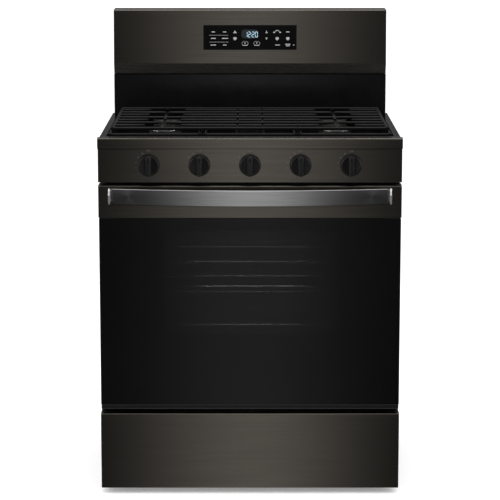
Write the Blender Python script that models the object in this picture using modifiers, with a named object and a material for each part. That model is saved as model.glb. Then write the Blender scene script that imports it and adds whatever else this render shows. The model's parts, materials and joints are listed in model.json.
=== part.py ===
"""Freestanding gas range, built from separate parts.

Frame: metres, +Z up, the front faces -Y and +X is to the right seen from the front.
The origin is at floor level, in the middle of the object's width and depth.
"""
import math

import bmesh
import bpy
from mathutils import Matrix, Vector

# Clearances and sheet metal
GAP = 0.0003
SHEET = 0.0012
CORNER = 0.002

# Half widths of the stacked fronts and of the body behind them
TRIM_HALF = 0.3795
PANEL_HALF = 0.3785
GLASS_HALF = 0.3775
DOOR_HALF = 0.3765
DECK_HALF = 0.376
SIDE_HALF = 0.3745
GUARD_HALF = 0.371

# Depths, front to back
FACE_Y = -0.295
BAND_Y = -0.298
FRAME_Y = -0.238
REAR_Y = 0.3525
REAR_PANEL_Y = 0.3475
SIDE_FRONT_Y = FRAME_Y + SHEET + GAP
SIDE_REAR_Y = REAR_PANEL_Y - SHEET - GAP

# Heights
BODY_BOTTOM = 0.0125
BODY_TOP = 0.8782
DECK_TOP = 0.914
HEIGHT = 1.195

# Control panel, valves and knobs
PANEL_BOTTOM = 0.803
PANEL_BACK_Y = -0.244
BAND_BOTTOM = 0.888
LEDGE_Y = -0.2735
KNOB_PITCH = 0.1257
KNOB_SPOTS = {f"{index + 1}": (index - 2) * KNOB_PITCH for index in range(5)}
KNOB_Z = 0.846
KNOB_RADIUS = 0.027
KNOB_BACK_Y = -0.2988
KNOB_SKIRT_Y = -0.3125
KNOB_FRONT_Y = -0.328
STEM_RADIUS = 0.003
STEM_TRAVEL = 0.003
VALVE_FRONT_Y = -0.272
MANIFOLD_Y = -0.236

# Fittings on the rear panel
GAS_INLET_X = 0.340
GAS_INLET_Z = 0.120
CORD_INLET_X = -0.300
CORD_INLET_Z = 0.100

# Cooktop
DECK_FRONT_Y = -0.2732
DECK_REAR_Y = 0.264
DECK_BOTTOM = 0.8785
WELL_FLOOR = 0.892
WELL_HALF = 0.359
WELL_FRONT_Y = -0.266
WELL_REAR_Y = 0.236
BURNER_X = 0.220
BURNER_FRONT_Y = -0.131
BURNER_REAR_Y = 0.1045
BURNER_TOP = 0.912
CAP_TOP = 0.919
SPIGOT_BOTTOM = 0.875
CENTRE_BURNER_Y = -0.013
BURNER_SPOTS = {
    "front_left": (-BURNER_X, BURNER_FRONT_Y),
    "front_right": (BURNER_X, BURNER_FRONT_Y),
    "rear_left": (-BURNER_X, BURNER_REAR_Y),
    "rear_right": (BURNER_X, BURNER_REAR_Y),
}
# The burner that each valve feeds, from left to right.
FEEDS = {
    "1": BURNER_SPOTS["front_left"],
    "2": BURNER_SPOTS["rear_left"],
    "3": (0.0, CENTRE_BURNER_Y),
    "4": BURNER_SPOTS["rear_right"],
    "5": BURNER_SPOTS["front_right"],
}

# Grates
GRATE_TOP = 0.9365
GRATE_BAR = 0.008
GRATE_BAR_BOTTOM = 0.9285
GRATE_RAIL_TOP = 0.922
GRATE_RAIL_BOTTOM = 0.909
GRATE_RAIL = 0.014
GRATE_JOINT_X = 0.119
GRATE_OUTER_X = 0.347
GRATE_RAIL_X = 0.354
GRATE_FIRST_Y = -0.248
GRATE_PITCH = 0.0588
GRATE_ROWS = 8
GRATE_REAR_Y = 0.205

# Oven
MOUTH_HALF = 0.300
CAVITY_BOTTOM = 0.272
CAVITY_TOP = 0.715
CAVITY_REAR_Y = 0.245
RACK_HALF = 0.292
RACK_FRONT_Y = -0.220
RACK_REAR_Y = 0.222
RACK_THICK = 0.005
RACK_HEIGHTS = {"upper": 0.550, "lower": 0.424}

# Door
DOOR_BOTTOM = 0.223
DOOR_TOP = 0.795
DOOR_LIP_TOP = 0.234
TRIM_BOTTOM = 0.7137
DOOR_SHELL_BACK_Y = -0.250
DOOR_BACK_Y = -0.2475
GLASS_BACK_Y = -0.2908
WINDOW_HALF = 0.240
WINDOW_BOTTOM = 0.395
WINDOW_TOP = 0.700
INNER_GLASS_HALF = 0.230
INNER_GLASS_BOTTOM = 0.405
INNER_GLASS_TOP = 0.690
INNER_GLASS_THICK = 0.0045
HINGE_X = 0.350
HINGE_Y = -0.270
HINGE_Z = 0.245
HANDLE_HALF = 0.351
HANDLE_BOTTOM = 0.7505
HANDLE_TOP = 0.7905
HANDLE_THICK = 0.012
HANDLE_FRONT_Y = -0.3525
HANDLE_END_Y = -0.3190

# Drawer
DRAWER_BOTTOM = 0.0158
DRAWER_TOP = 0.2105
DRAWER_CREASE = 0.1925
TRAY_HALF = 0.310
TRAY_BOTTOM = 0.032
TRAY_TOP = 0.152
TRAY_REAR_Y = 0.250

# Backguard
GUARD_FRONT_Y = 0.268
CONSOLE_BOTTOM = 1.021
CONSOLE_CREASE = 1.050
CONSOLE_CREASE_Y = 0.2655
CONSOLE_TOP_Y = 0.2755
SPLASH_Y = 0.2710
TOUCH_HALF = 0.127
TOUCH_Z = 1.120
TOUCH_HEIGHT = 0.067

# Finishes: colour, roughness, metallic
FINISHES = {
    "black_steel": ((0.060, 0.056, 0.050), 0.35, 0.9),
    "black_paint": ((0.012, 0.012, 0.013), 0.40, 0.0),
    "galvanised": ((0.42, 0.43, 0.44), 0.50, 0.9),
    "porcelain": ((0.015, 0.015, 0.016), 0.18, 0.0),
    "cavity_enamel": ((0.030, 0.032, 0.038), 0.30, 0.0),
    "cast_iron": ((0.018, 0.018, 0.019), 0.65, 0.0),
    "burner_alloy": ((0.45, 0.44, 0.42), 0.45, 0.9),
    "black_glass": ((0.006, 0.006, 0.007), 0.05, 0.0),
    "clear_glass": ((0.20, 0.22, 0.22), 0.03, 0.0),
    "bright_steel": ((0.60, 0.60, 0.60), 0.25, 1.0),
    "knob_plastic": ((0.014, 0.014, 0.015), 0.38, 0.0),
    "rubber": ((0.020, 0.020, 0.020), 0.80, 0.0),
    "brass": ((0.55, 0.42, 0.18), 0.35, 1.0),
}


# ---------------------------------------------------------------- helpers

def clear_scene():
    for item in list(bpy.data.objects):
        bpy.data.objects.remove(item, do_unlink=True)


def make_collection(name):
    collection = bpy.data.collections.new(name)
    bpy.context.scene.collection.children.link(collection)
    return collection


def make_material(name):
    colour, roughness, metallic = FINISHES[name]
    material = bpy.data.materials.new(name)
    material.use_nodes = True
    shader = material.node_tree.nodes["Principled BSDF"]
    shader.inputs["Base Color"].default_value = (*colour, 1.0)
    shader.inputs["Roughness"].default_value = roughness
    shader.inputs["Metallic"].default_value = metallic
    return material


def place(name, data, finish=None):
    """Put new object data in the scene: a part when it has a finish, else a cutter or guide."""
    item = bpy.data.objects.new(name, data)
    if finish is None:
        CUTTERS.objects.link(item)
        item.hide_render = True
        item.display_type = "WIRE"
    else:
        PARTS.objects.link(item)
        data.materials.append(MATERIALS[finish])
    return item


def mesh_object(name, shape, finish=None):
    mesh = bpy.data.meshes.new(name)
    shape.to_mesh(mesh)
    shape.free()
    return place(name, mesh, finish)


def box(name, low, high, finish=None):
    shape = bmesh.new()
    bmesh.ops.create_cube(shape, size=1.0)
    low = Vector(low)
    high = Vector(high)
    bmesh.ops.scale(shape, vec=high - low, verts=shape.verts)
    bmesh.ops.translate(shape, vec=(low + high) / 2, verts=shape.verts)
    return mesh_object(name, shape, finish)


def cylinder(name, start, end, radius, finish=None, segments=16):
    start = Vector(start)
    end = Vector(end)
    axis = end - start
    shape = bmesh.new()
    bmesh.ops.create_cone(shape, cap_ends=True, segments=segments, radius1=radius,
                          radius2=radius, depth=axis.length)
    turn = Vector((0, 0, 1)).rotation_difference(axis).to_matrix().to_4x4()
    bmesh.ops.transform(shape, matrix=Matrix.Translation((start + end) / 2) @ turn,
                        verts=shape.verts)
    return mesh_object(name, shape, finish)


def curve_data(name, flat):
    curve = bpy.data.curves.new(name, "CURVE")
    curve.dimensions = "2D" if flat else "3D"
    curve.resolution_u = 1
    return curve


def add_spline(curve, points, closed):
    spline = curve.splines.new("POLY")
    spline.points.add(len(points) - 1)
    for point, place_at in zip(spline.points, points):
        point.co = (*place_at, 0.0, 1.0)[:4] if len(place_at) == 2 else (*place_at, 1.0)
    spline.use_cyclic_u = closed


def solid_from_curve(name, curve, matrix, finish):
    """Turn a filled or beveled curve into a welded mesh object."""
    guide = bpy.data.objects.new(name + "_curve", curve)
    CUTTERS.objects.link(guide)
    bpy.context.view_layer.update()
    evaluated = guide.evaluated_get(bpy.context.evaluated_depsgraph_get())
    shape = bmesh.new()
    shape.from_mesh(bpy.data.meshes.new_from_object(evaluated))
    bmesh.ops.remove_doubles(shape, verts=shape.verts, dist=0.00001)
    bmesh.ops.transform(shape, matrix=matrix, verts=shape.verts)
    bmesh.ops.recalc_face_normals(shape, faces=shape.faces)
    bpy.data.objects.remove(guide, do_unlink=True)
    return mesh_object(name, shape, finish)


# Each matrix carries a flat outline drawn in XY to the plane that it names, its thickness along
# the third axis.
PLANES = {
    "XY": Matrix.Identity(4),
    "XZ": Matrix(((1, 0, 0, 0), (0, 0, 1, 0), (0, 1, 0, 0), (0, 0, 0, 1))),
    "YZ": Matrix(((0, 0, 1, 0), (1, 0, 0, 0), (0, 1, 0, 0), (0, 0, 0, 1))),
}
THROUGH = {"XY": (0, 0, 1), "XZ": (0, 1, 0), "YZ": (1, 0, 0)}


def plate(name, plane, outlines, low, high, finish=None):
    """A flat outline with holes, from low to high along the axis that is not in its plane."""
    curve = curve_data(name, flat=True)
    curve.fill_mode = "BOTH"
    curve.extrude = (high - low) / 2
    for outline in outlines:
        add_spline(curve, outline, closed=True)
    shift = Matrix.Translation(Vector(THROUGH[plane]) * (low + high) / 2)
    return solid_from_curve(name, curve, shift @ PLANES[plane], finish)


def tube(name, points, radius, finish=None, closed=False, resolution=2):
    curve = curve_data(name, flat=False)
    curve.bevel_depth = radius
    curve.bevel_resolution = resolution
    curve.use_fill_caps = not closed
    add_spline(curve, points, closed)
    return solid_from_curve(name, curve, Matrix.Identity(4), finish)


def turned(name, profile, finish=None, steps=24):
    """A profile of (radius, height) points, top to bottom, turned about Z."""
    shape = bmesh.new()
    corners = [shape.verts.new((radius, 0.0, height)) for radius, height in profile]
    for upper, lower in zip(corners, corners[1:]):
        shape.edges.new((upper, lower))
    item = mesh_object(name, shape, finish)
    screw = item.modifiers.new("Turn", "SCREW")
    screw.axis = "Z"
    screw.steps = steps
    screw.render_steps = steps
    screw.use_merge_vertices = True
    screw.merge_threshold = 0.00001
    screw.use_smooth_shade = True
    return item


def boolean(target, operand, operation, solver="EXACT"):
    modifier = target.modifiers.new(operand.name, "BOOLEAN")
    modifier.operation = operation
    modifier.object = operand
    modifier.solver = solver


def cut(target, *cutters):
    for cutter in cutters:
        boolean(target, cutter, "DIFFERENCE")
    return target


def join(target, *additions):
    for addition in additions:
        boolean(target, addition, "UNION")
    return target


def soften(target, width=CORNER, segments=2):
    bevel = target.modifiers.new("Soft edges", "BEVEL")
    bevel.width = width
    bevel.segments = segments
    bevel.limit_method = "ANGLE"
    bevel.angle_limit = math.radians(40)
    return target


def rectangle(x_low, x_high, y_low, y_high):
    return [(x_low, y_low), (x_high, y_low), (x_high, y_high), (x_low, y_high)]


def arc(centre, radius, start_deg, end_deg, steps):
    """Points on a circle, both ends included."""
    angles = [math.radians(start_deg + (end_deg - start_deg) * i / steps) for i in range(steps + 1)]
    return [(centre[0] + radius * math.cos(a), centre[1] + radius * math.sin(a)) for a in angles]


def side_name(sign):
    return "right" if sign > 0 else "left"


def parent_to_axis(name, pos, items):
    """Hang moving parts on an empty that stands on their joint's axis."""
    empty = bpy.data.objects.new(name, None)
    PARTS.objects.link(empty)
    empty.location = pos
    bpy.context.view_layer.update()
    for item in items:
        item.parent = empty
        item.matrix_parent_inverse = empty.matrix_world.inverted()


# ---------------------------------------------------------------- carcass

def side_panel(sign):
    inner = SIDE_HALF - SHEET
    flange = SIDE_HALF - 0.015
    outline = [
        (SIDE_HALF, SIDE_FRONT_Y), (SIDE_HALF, SIDE_REAR_Y), (flange, SIDE_REAR_Y),
        (flange, SIDE_REAR_Y - SHEET), (inner, SIDE_REAR_Y - SHEET), (inner, SIDE_FRONT_Y + SHEET),
        (flange, SIDE_FRONT_Y + SHEET), (flange, SIDE_FRONT_Y),
    ]
    outline = [(sign * x, y) for x, y in outline]
    plate("side_panel_" + side_name(sign), "XY", [outline], BODY_BOTTOM, BODY_TOP, "black_paint")


def rear_panel():
    panel = box("rear_panel", (-SIDE_HALF, REAR_PANEL_Y - SHEET, BODY_BOTTOM),
                (SIDE_HALF, REAR_PANEL_Y, BODY_TOP), "galvanised")
    join(panel, cylinder("cord_inlet_collar", (CORD_INLET_X, REAR_PANEL_Y - SHEET / 2, CORD_INLET_Z),
                         (CORD_INLET_X, REAR_PANEL_Y + 0.003, CORD_INLET_Z), 0.014, segments=24))
    for name, x, z, radius in (("gas", GAS_INLET_X, GAS_INLET_Z, 0.016),
                               ("cord", CORD_INLET_X, CORD_INLET_Z, 0.008)):
        cut(panel, cylinder(f"rear_panel_{name}_hole", (x, 0.33, z), (x, 0.36, z), radius, segments=24))


def base_pan():
    half = SIDE_HALF - SHEET - GAP
    low_y = SIDE_FRONT_Y + SHEET + GAP
    high_y = SIDE_REAR_Y - SHEET - GAP
    pan = box("base_pan", (-half, low_y, BODY_BOTTOM), (half, high_y, BODY_BOTTOM + 0.012), "galvanised")
    hollow = box("base_pan_hollow", (-half + SHEET, low_y + SHEET, BODY_BOTTOM + SHEET),
                 (half - SHEET, high_y - SHEET, BODY_BOTTOM + 0.05))
    cut(pan, hollow)


def leveling_foot(name, x, y):
    top = BODY_BOTTOM - GAP
    profile = [(0, top), (0.006, top), (0.006, 0.0085), (0.015, 0.007), (0.018, 0.005),
               (0.018, 0.001), (0.017, 0), (0, 0)]
    foot = turned("leveling_foot_" + name, profile, "rubber", steps=16)
    foot.location = (x, y, 0)


def front_frame():
    """The enamelled frame round the drawer bay and the oven mouth, with slots for the hinge arms."""
    outlines = [
        rectangle(-SIDE_HALF, SIDE_HALF, BODY_BOTTOM, PANEL_BOTTOM - 0.003),
        rectangle(-0.345, 0.345, 0.0265, 0.206),
        rectangle(-MOUTH_HALF, MOUTH_HALF, CAVITY_BOTTOM + 0.003, CAVITY_TOP - 0.003),
    ]
    for sign in (-1, 1):
        low, high = sorted((sign * (HINGE_X - 0.007), sign * (HINGE_X + 0.007)))
        outlines.append(rectangle(low, high, HINGE_Z - 0.012, HINGE_Z + 0.012))
    plate("front_frame", "XZ", outlines, FRAME_Y, FRAME_Y + SHEET, "cavity_enamel")


def door_gasket():
    centre_y = (DOOR_BACK_Y + FRAME_Y) / 2
    radius = (FRAME_Y - DOOR_BACK_Y) / 2 - 0.0004
    half = MOUTH_HALF + 0.0075
    low, high = CAVITY_BOTTOM - 0.0025, CAVITY_TOP + 0.0045
    corner = 0.012
    ring = []
    for centre, start in (((half - corner, high - corner), 0), ((corner - half, high - corner), 90),
                          ((corner - half, low + corner), 180), ((half - corner, low + corner), 270)):
        ring += [(x, centre_y, z) for x, z in arc(centre, corner, start, start + 90, 4)]
    tube("door_gasket", ring, radius, "rubber", closed=True)


# ---------------------------------------------------------------- oven

def oven_liner():
    front = FRAME_Y + SHEET + GAP
    half, low, high = MOUTH_HALF + SHEET, CAVITY_BOTTOM - SHEET, CAVITY_TOP + SHEET
    liner = box("oven_liner", (-half, front, low), (half, CAVITY_REAR_Y + SHEET, high), "cavity_enamel")
    flange = box("oven_liner_flange", (-half - 0.012, front, low - 0.012),
                 (half + 0.012, front + SHEET, high + 0.012))
    hollow = box("oven_liner_hollow", (-MOUTH_HALF, front - 0.01, CAVITY_BOTTOM),
                 (MOUTH_HALF, CAVITY_REAR_Y, CAVITY_TOP))
    join(liner, flange)
    cut(liner, hollow)
    for name, height in RACK_HEIGHTS.items():
        top = height - RACK_THICK / 2 - GAP
        for sign in (-1, 1):
            low_x, high_x = sorted((sign * (MOUTH_HALF + SHEET / 2), sign * (MOUTH_HALF - 0.016)))
            ledge = box(f"rack_ledge_{name}_{side_name(sign)}", (low_x, -0.215, top - 0.006),
                        (high_x, 0.235, top))
            join(liner, ledge)


def oven_floor():
    half, top = MOUTH_HALF - 0.002, CAVITY_BOTTOM + 0.035
    floor = box("oven_floor", (-half, -0.226, CAVITY_BOTTOM + GAP), (half, 0.238, top), "cavity_enamel")
    under = box("oven_floor_under", (-half + SHEET, -0.24, CAVITY_BOTTOM - 0.01),
                (half - SHEET, 0.25, top - SHEET))
    soften(floor, 0.0015, 1)
    cut(floor, under)


def bake_burner():
    height = CAVITY_BOTTOM + 0.0155
    cylinder("bake_burner", (0, -0.17, height), (0, CAVITY_REAR_Y - GAP, height), 0.011, "bright_steel")


def broil_burner():
    height = CAVITY_TOP - 0.0145
    pipe = cylinder("broil_burner", (0, -0.16, height), (0, CAVITY_REAR_Y - GAP, height), 0.011,
                    "bright_steel")
    wing = plate("broil_wing", "XY", [rectangle(-0.085, 0.085, -0.15, 0.16)], height - 0.004,
                 height - 0.001)
    join(pipe, wing)


def oven_light_lens():
    profile = [(0, 0.026)] + [(0.028 * math.sin(math.radians(a)), 0.008 + 0.018 * math.cos(math.radians(a)))
                              for a in (25, 50, 75, 90)]
    profile += [(0.032, 0.008), (0.032, 0), (0, 0)]
    lens = turned("oven_light_lens", profile, "clear_glass", steps=16)
    lens.location = (0.17, CAVITY_REAR_Y - GAP, 0.630)
    lens.rotation_euler = (math.radians(90), 0, 0)


def oven_rack(name, height):
    """A grid of wires running front to back inside a frame, with a raised rear stop."""
    wires = 13
    rim = 0.006
    pitch = (2 * RACK_HALF - rim) / wires
    outlines = [rectangle(-RACK_HALF, RACK_HALF, RACK_FRONT_Y, RACK_REAR_Y)]
    for i in range(wires):
        low = -RACK_HALF + rim + i * pitch
        outlines.append(rectangle(low, low + pitch - rim, RACK_FRONT_Y + rim, RACK_REAR_Y - rim))
    rack = plate("oven_rack_" + name, "XY", outlines, height - RACK_THICK / 2, height + RACK_THICK / 2,
                 "bright_steel")
    stop = box("rack_stop_" + name, (-RACK_HALF + 0.02, RACK_REAR_Y - 0.005, height - 0.001),
               (RACK_HALF - 0.02, RACK_REAR_Y - 0.001, height + 0.018))
    boolean(rack, stop, "UNION", "MANIFOLD")
    return rack


# ---------------------------------------------------------------- cooktop

def cooktop():
    """The enamelled deck: a rim round a sunken well, hollow below, with a hole for each burner."""
    deck = box("cooktop", (-DECK_HALF, DECK_FRONT_Y, DECK_BOTTOM), (DECK_HALF, DECK_REAR_Y, DECK_TOP + 0.001),
               "porcelain")
    soften(deck, 0.003)
    well = box("cooktop_well", (-WELL_HALF, WELL_FRONT_Y, WELL_FLOOR), (WELL_HALF, WELL_REAR_Y, 0.95))
    under = box("cooktop_under", (-DECK_HALF + 0.003, DECK_FRONT_Y + 0.003, 0.80),
                (DECK_HALF - 0.003, DECK_REAR_Y - 0.003, WELL_FLOOR - SHEET))
    soften(well, 0.004)
    cut(deck, well, under)
    for name, (x, y) in BURNER_SPOTS.items():
        cut(deck, cylinder("deck_hole_" + name, (x, y, 0.87), (x, y, 0.90), 0.020))
    cut(deck, cylinder("deck_hole_centre", (0, CENTRE_BURNER_Y, 0.87), (0, CENTRE_BURNER_Y, 0.90), 0.020))


def burner_base(name, x, y):
    seat = WELL_FLOOR + GAP
    profile = [(0, BURNER_TOP), (0.030, BURNER_TOP), (0.036, BURNER_TOP - 0.0015), (0.036, 0.898), (0.044, 0.895),
               (0.045, seat), (0.0185, seat), (0.0185, SPIGOT_BOTTOM), (0, SPIGOT_BOTTOM)]
    base = turned("burner_base_" + name, profile, "burner_alloy")
    base.location = (x, y, 0)


def burner_cap(name, x, y):
    bottom = BURNER_TOP + GAP
    profile = [(0, CAP_TOP), (0.024, CAP_TOP), (0.034, CAP_TOP - 0.001), (0.0375, CAP_TOP - 0.0035),
               (0.038, bottom), (0, bottom)]
    cap = turned("burner_cap_" + name, profile, "cast_iron")
    cap.location = (x, y, 0)


def oval_outline(half_width, half_length):
    straight = half_length - half_width
    points = arc((0, straight), half_width, 0, 180, 8) + arc((0, -straight), half_width, 180, 360, 8)
    return [(x, y + CENTRE_BURNER_Y) for x, y in points]


def centre_burner():
    seat = WELL_FLOOR + GAP
    base = plate("burner_base_centre", "XY", [oval_outline(0.038, 0.098)], seat, BURNER_TOP, "burner_alloy")
    join(base, cylinder("burner_spigot_centre", (0, CENTRE_BURNER_Y, SPIGOT_BOTTOM), (0, CENTRE_BURNER_Y, 0.898),
                        0.0185))
    cap = plate("burner_cap_centre", "XY", [oval_outline(0.032, 0.092)], BURNER_TOP + GAP, CAP_TOP, "cast_iron")
    soften(cap, 0.0015)


def grate(name, rail_low, rail_high, bar_low, bar_high, spots, finger_gap, joint_ends):
    """A top grid of bars on short posts over a lower frame. spots are the (x, y, half width) of each opening for a
    flame; at joint_ends the bars end free, where the next grate carries them on."""
    rows = [GRATE_FIRST_Y + GRATE_PITCH * row for row in range(GRATE_ROWS)] + [GRATE_REAR_Y]
    half = GRATE_BAR / 2
    outlines = [rectangle(bar_low, bar_high, rows[0] - half, rows[-1] + half)]
    for near, far in zip(rows, rows[1:]):
        outlines.append(rectangle(bar_low + GRATE_BAR, bar_high - GRATE_BAR, near + half, far - half))
    item = plate("grate_" + name, "XY", outlines, GRATE_BAR_BOTTOM, GRATE_TOP, "cast_iron")
    gaps = [rectangle(x - GRATE_BAR - 0.001, x + GRATE_BAR + 0.001, near + half, far - half)
            for x in joint_ends for near, far in zip(rows, rows[1:])]
    cut(item, plate("grate_gaps_" + name, "XY", gaps, GRATE_BAR_BOTTOM - 0.01, GRATE_TOP + 0.01))
    rail = plate(f"grate_rail_{name}", "XY", [
        rectangle(rail_low, rail_high, rows[0] - 0.014, rows[-1] + 0.007),
        rectangle(rail_low + GRATE_RAIL, rail_high - GRATE_RAIL, rows[0] - half + 0.002, rows[-1] - 0.004),
    ], GRATE_RAIL_BOTTOM, GRATE_RAIL_TOP)
    join(item, rail)
    posts = [rectangle(x, x + GRATE_BAR, y - half, y + half) for x in (bar_low, bar_high - GRATE_BAR) for y in rows]
    join(item, plate("grate_posts_" + name, "XY", posts, GRATE_RAIL_TOP - 0.001, GRATE_BAR_BOTTOM + 0.001))
    for x, y, flame in spots:
        for offset in (-GRATE_PITCH, GRATE_PITCH):
            label = f"flame_{name}_{x:.2f}_{y + offset:.2f}"
            cut(item, box(label, (x - flame, y + offset - 0.006, 0.91), (x + flame, y + offset + 0.006, 0.95)))
        if finger_gap:
            cut(item, box(f"finger_{name}_{x:.2f}_{y:.2f}", (x - finger_gap, y - 0.006, 0.91),
                          (x + finger_gap, y + 0.006, 0.95)))
    for index, x in enumerate((rail_low + 0.002, rail_high - 0.010)):
        for end, y in enumerate((rows[0] - 0.012, rows[-1] - 0.003)):
            foot = box(f"grate_foot_{name}_{index}{end}", (x, y, WELL_FLOOR + GAP), (x + 0.008, y + 0.008, 0.915))
            join(item, foot)
    return item


def grates():
    side_spots = [(BURNER_FRONT_Y, 0.043), (BURNER_REAR_Y, 0.043)]
    outer, inner = GRATE_OUTER_X, GRATE_JOINT_X + 0.0015
    built = {}
    built["left"] = grate("left", -GRATE_RAIL_X, -inner, -outer, -inner - 0.001,
                          [(-BURNER_X, y, size) for y, size in side_spots], 0.0055, [-inner - 0.001])
    built["right"] = grate("right", inner, GRATE_RAIL_X, inner + 0.001, outer,
                           [(BURNER_X, y, size) for y, size in side_spots], 0.0055, [inner + 0.001])
    centre = GRATE_JOINT_X - 0.0015
    built["centre"] = grate("centre", -centre, centre, -centre + 0.001, centre - 0.001,
                            [], 0, [-centre + 0.001, centre - 0.001])
    return built


# ---------------------------------------------------------------- gas and controls

def control_panel():
    """A folded front with a raised band along its top, closed ends and an open back."""
    corner = 0.005
    shell = plate("control_panel", "YZ", [
        [(FACE_Y, PANEL_BOTTOM), (FACE_Y, BAND_BOTTOM + 0.001), (LEDGE_Y, BAND_BOTTOM + 0.001),
         (LEDGE_Y, BODY_TOP - 0.0007), (PANEL_BACK_Y, BODY_TOP - 0.0007), (PANEL_BACK_Y, PANEL_BOTTOM)],
    ], -PANEL_HALF, PANEL_HALF, "black_steel")
    band_top = arc((BAND_Y + corner, DECK_TOP - corner), corner, 180, 90, 4)
    band = plate("control_panel_band", "YZ", [
        [(BAND_Y, BAND_BOTTOM)] + band_top + [(LEDGE_Y, DECK_TOP), (LEDGE_Y, BAND_BOTTOM)],
    ], -TRIM_HALF, TRIM_HALF)
    join(shell, band)
    inner = PANEL_HALF - SHEET
    cut(shell, box("panel_hollow", (-inner, FACE_Y + SHEET, PANEL_BOTTOM + SHEET),
                   (inner, PANEL_BACK_Y + 0.02, BODY_TOP - 0.0007 - SHEET)))
    cut(shell, box("panel_band_hollow", (-inner, BAND_Y + SHEET, BAND_BOTTOM + 0.003),
                   (inner, LEDGE_Y - SHEET, DECK_TOP - SHEET)))
    cut(shell, box("panel_band_way", (-inner, FACE_Y + SHEET, BODY_TOP - 0.01),
                   (inner, LEDGE_Y - SHEET, BAND_BOTTOM + 0.01)))
    for name, x in KNOB_SPOTS.items():
        cut(shell, cylinder("stem_hole_" + name, (x, FACE_Y - 0.01, KNOB_Z), (x, FACE_Y + 0.01, KNOB_Z), 0.006))


def gas_manifold():
    """The supply rail with a valve body for each knob and a feed tube from each to its burner."""
    rail_z = KNOB_Z - 0.006
    rail = cylinder("gas_manifold", (-0.300, MANIFOLD_Y, rail_z), (0.325, MANIFOLD_Y, rail_z), 0.0095,
                    "galvanised")
    for name, x in KNOB_SPOTS.items():
        body = box("valve_body_" + name, (x - 0.012, VALVE_FRONT_Y, KNOB_Z - 0.013),
                   (x + 0.012, MANIFOLD_Y + 0.004, KNOB_Z + 0.013))
        join(rail, body)
        burner_x, burner_y = FEEDS[name]
        route = [(x, MANIFOLD_Y - 0.002, KNOB_Z + 0.004), (x, MANIFOLD_Y + 0.030, KNOB_Z + 0.016),
                 (burner_x, burner_y - 0.012, KNOB_Z + 0.018), (burner_x, burner_y, KNOB_Z + 0.0225),
                 (burner_x, burner_y, 0.875 - GAP)]
        join(rail, tube("feed_tube_" + name, route, 0.0035))
    for name, x in KNOB_SPOTS.items():
        cut(rail, cylinder("valve_bore_" + name, (x, VALVE_FRONT_Y - 0.01, KNOB_Z),
                           (x, VALVE_FRONT_Y + 0.016, KNOB_Z), STEM_RADIUS + GAP))


def pressure_regulator():
    """A domed can at the end of the rail, with the supply pipe down to the inlet at the back."""
    x = 0.345
    can = turned("pressure_regulator", [
        (0, 0.030), (0.010, 0.029), (0.011, 0.020), (0.022, 0.014), (0.022, 0.006), (0.019, 0),
        (0.019, -0.010), (0, -0.010)], "galvanised", steps=16)
    can.location = (x, -0.190, KNOB_Z - 0.020)
    pipe = tube("supply_pipe", [(x, -0.190, KNOB_Z - 0.015), (x, -0.160, KNOB_Z - 0.025),
                                (x, 0.300, KNOB_Z - 0.025), (GAS_INLET_X, 0.315, KNOB_Z - 0.045),
                                (GAS_INLET_X, 0.315, GAS_INLET_Z + 0.02), (GAS_INLET_X, 0.322, GAS_INLET_Z),
                                (GAS_INLET_X, 0.335, GAS_INLET_Z)], 0.007)
    inlet = cylinder("gas_inlet", (GAS_INLET_X, 0.330, GAS_INLET_Z), (GAS_INLET_X, 0.3500, GAS_INLET_Z),
                     0.0125, segments=6)
    branch = tube("rail_branch", [(x, -0.190, KNOB_Z - 0.014), (0.337, -0.215, KNOB_Z - 0.008)], 0.006)
    join(can, pipe, inlet, branch)


def valve_stem(name, x):
    """A steel stem on the valve axis, with the collar that its return spring bears on."""
    profile = [(0, 0.048), (STEM_RADIUS, 0.048), (STEM_RADIUS, 0.0195), (0.005, 0.0195), (0.005, 0.0165),
               (STEM_RADIUS, 0.0165), (STEM_RADIUS, 0), (0, 0)]
    stem = turned("valve_stem_" + name, profile, "brass", steps=16)
    stem.location = (x, VALVE_FRONT_Y + 0.012, KNOB_Z)
    stem.rotation_euler = (math.radians(90), 0, 0)
    return stem


def knob(name, x):
    """A round skirt with a raised blade grip and a blind bore for the stem."""
    depth = KNOB_BACK_Y - KNOB_FRONT_Y
    skirt = KNOB_BACK_Y - KNOB_SKIRT_Y
    profile = [(0, skirt - 0.0015), (0.019, skirt - 0.0015), (0.0235, skirt), (0.0255, skirt - 0.0015),
               (KNOB_RADIUS, 0.001), (KNOB_RADIUS - 0.001, 0), (0, 0)]
    item = turned("knob_" + name, profile, "knob_plastic")
    grip = box("knob_grip_" + name, (-0.0075, -0.0255, skirt - 0.004), (0.0075, 0.0255, depth))
    soften(grip, 0.0035)
    bore = cylinder("knob_bore_" + name, (0, 0, -0.01), (0, 0, 0.0145), STEM_RADIUS + GAP)
    join(item, grip)
    cut(item, bore)
    for piece in (item, grip, bore):
        piece.location = (x, KNOB_BACK_Y, KNOB_Z)
        piece.rotation_euler = (math.radians(90), 0, 0)
    return item


# ---------------------------------------------------------------- door

def door_glass():
    pane = plate("door_glass", "XZ", [rectangle(-GLASS_HALF, GLASS_HALF, DOOR_LIP_TOP + 0.0005, 0.712)],
                 FACE_Y, GLASS_BACK_Y, "black_glass")
    return soften(pane, 0.0008, 1)


def hinge_notch(name, bottom, top, front, sign):
    low, high = sorted((sign * (HINGE_X - 0.008), sign * (HINGE_X + 0.008)))
    return box(f"{name}_{side_name(sign)}", (low, front, bottom), (high, -0.2, top))


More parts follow.
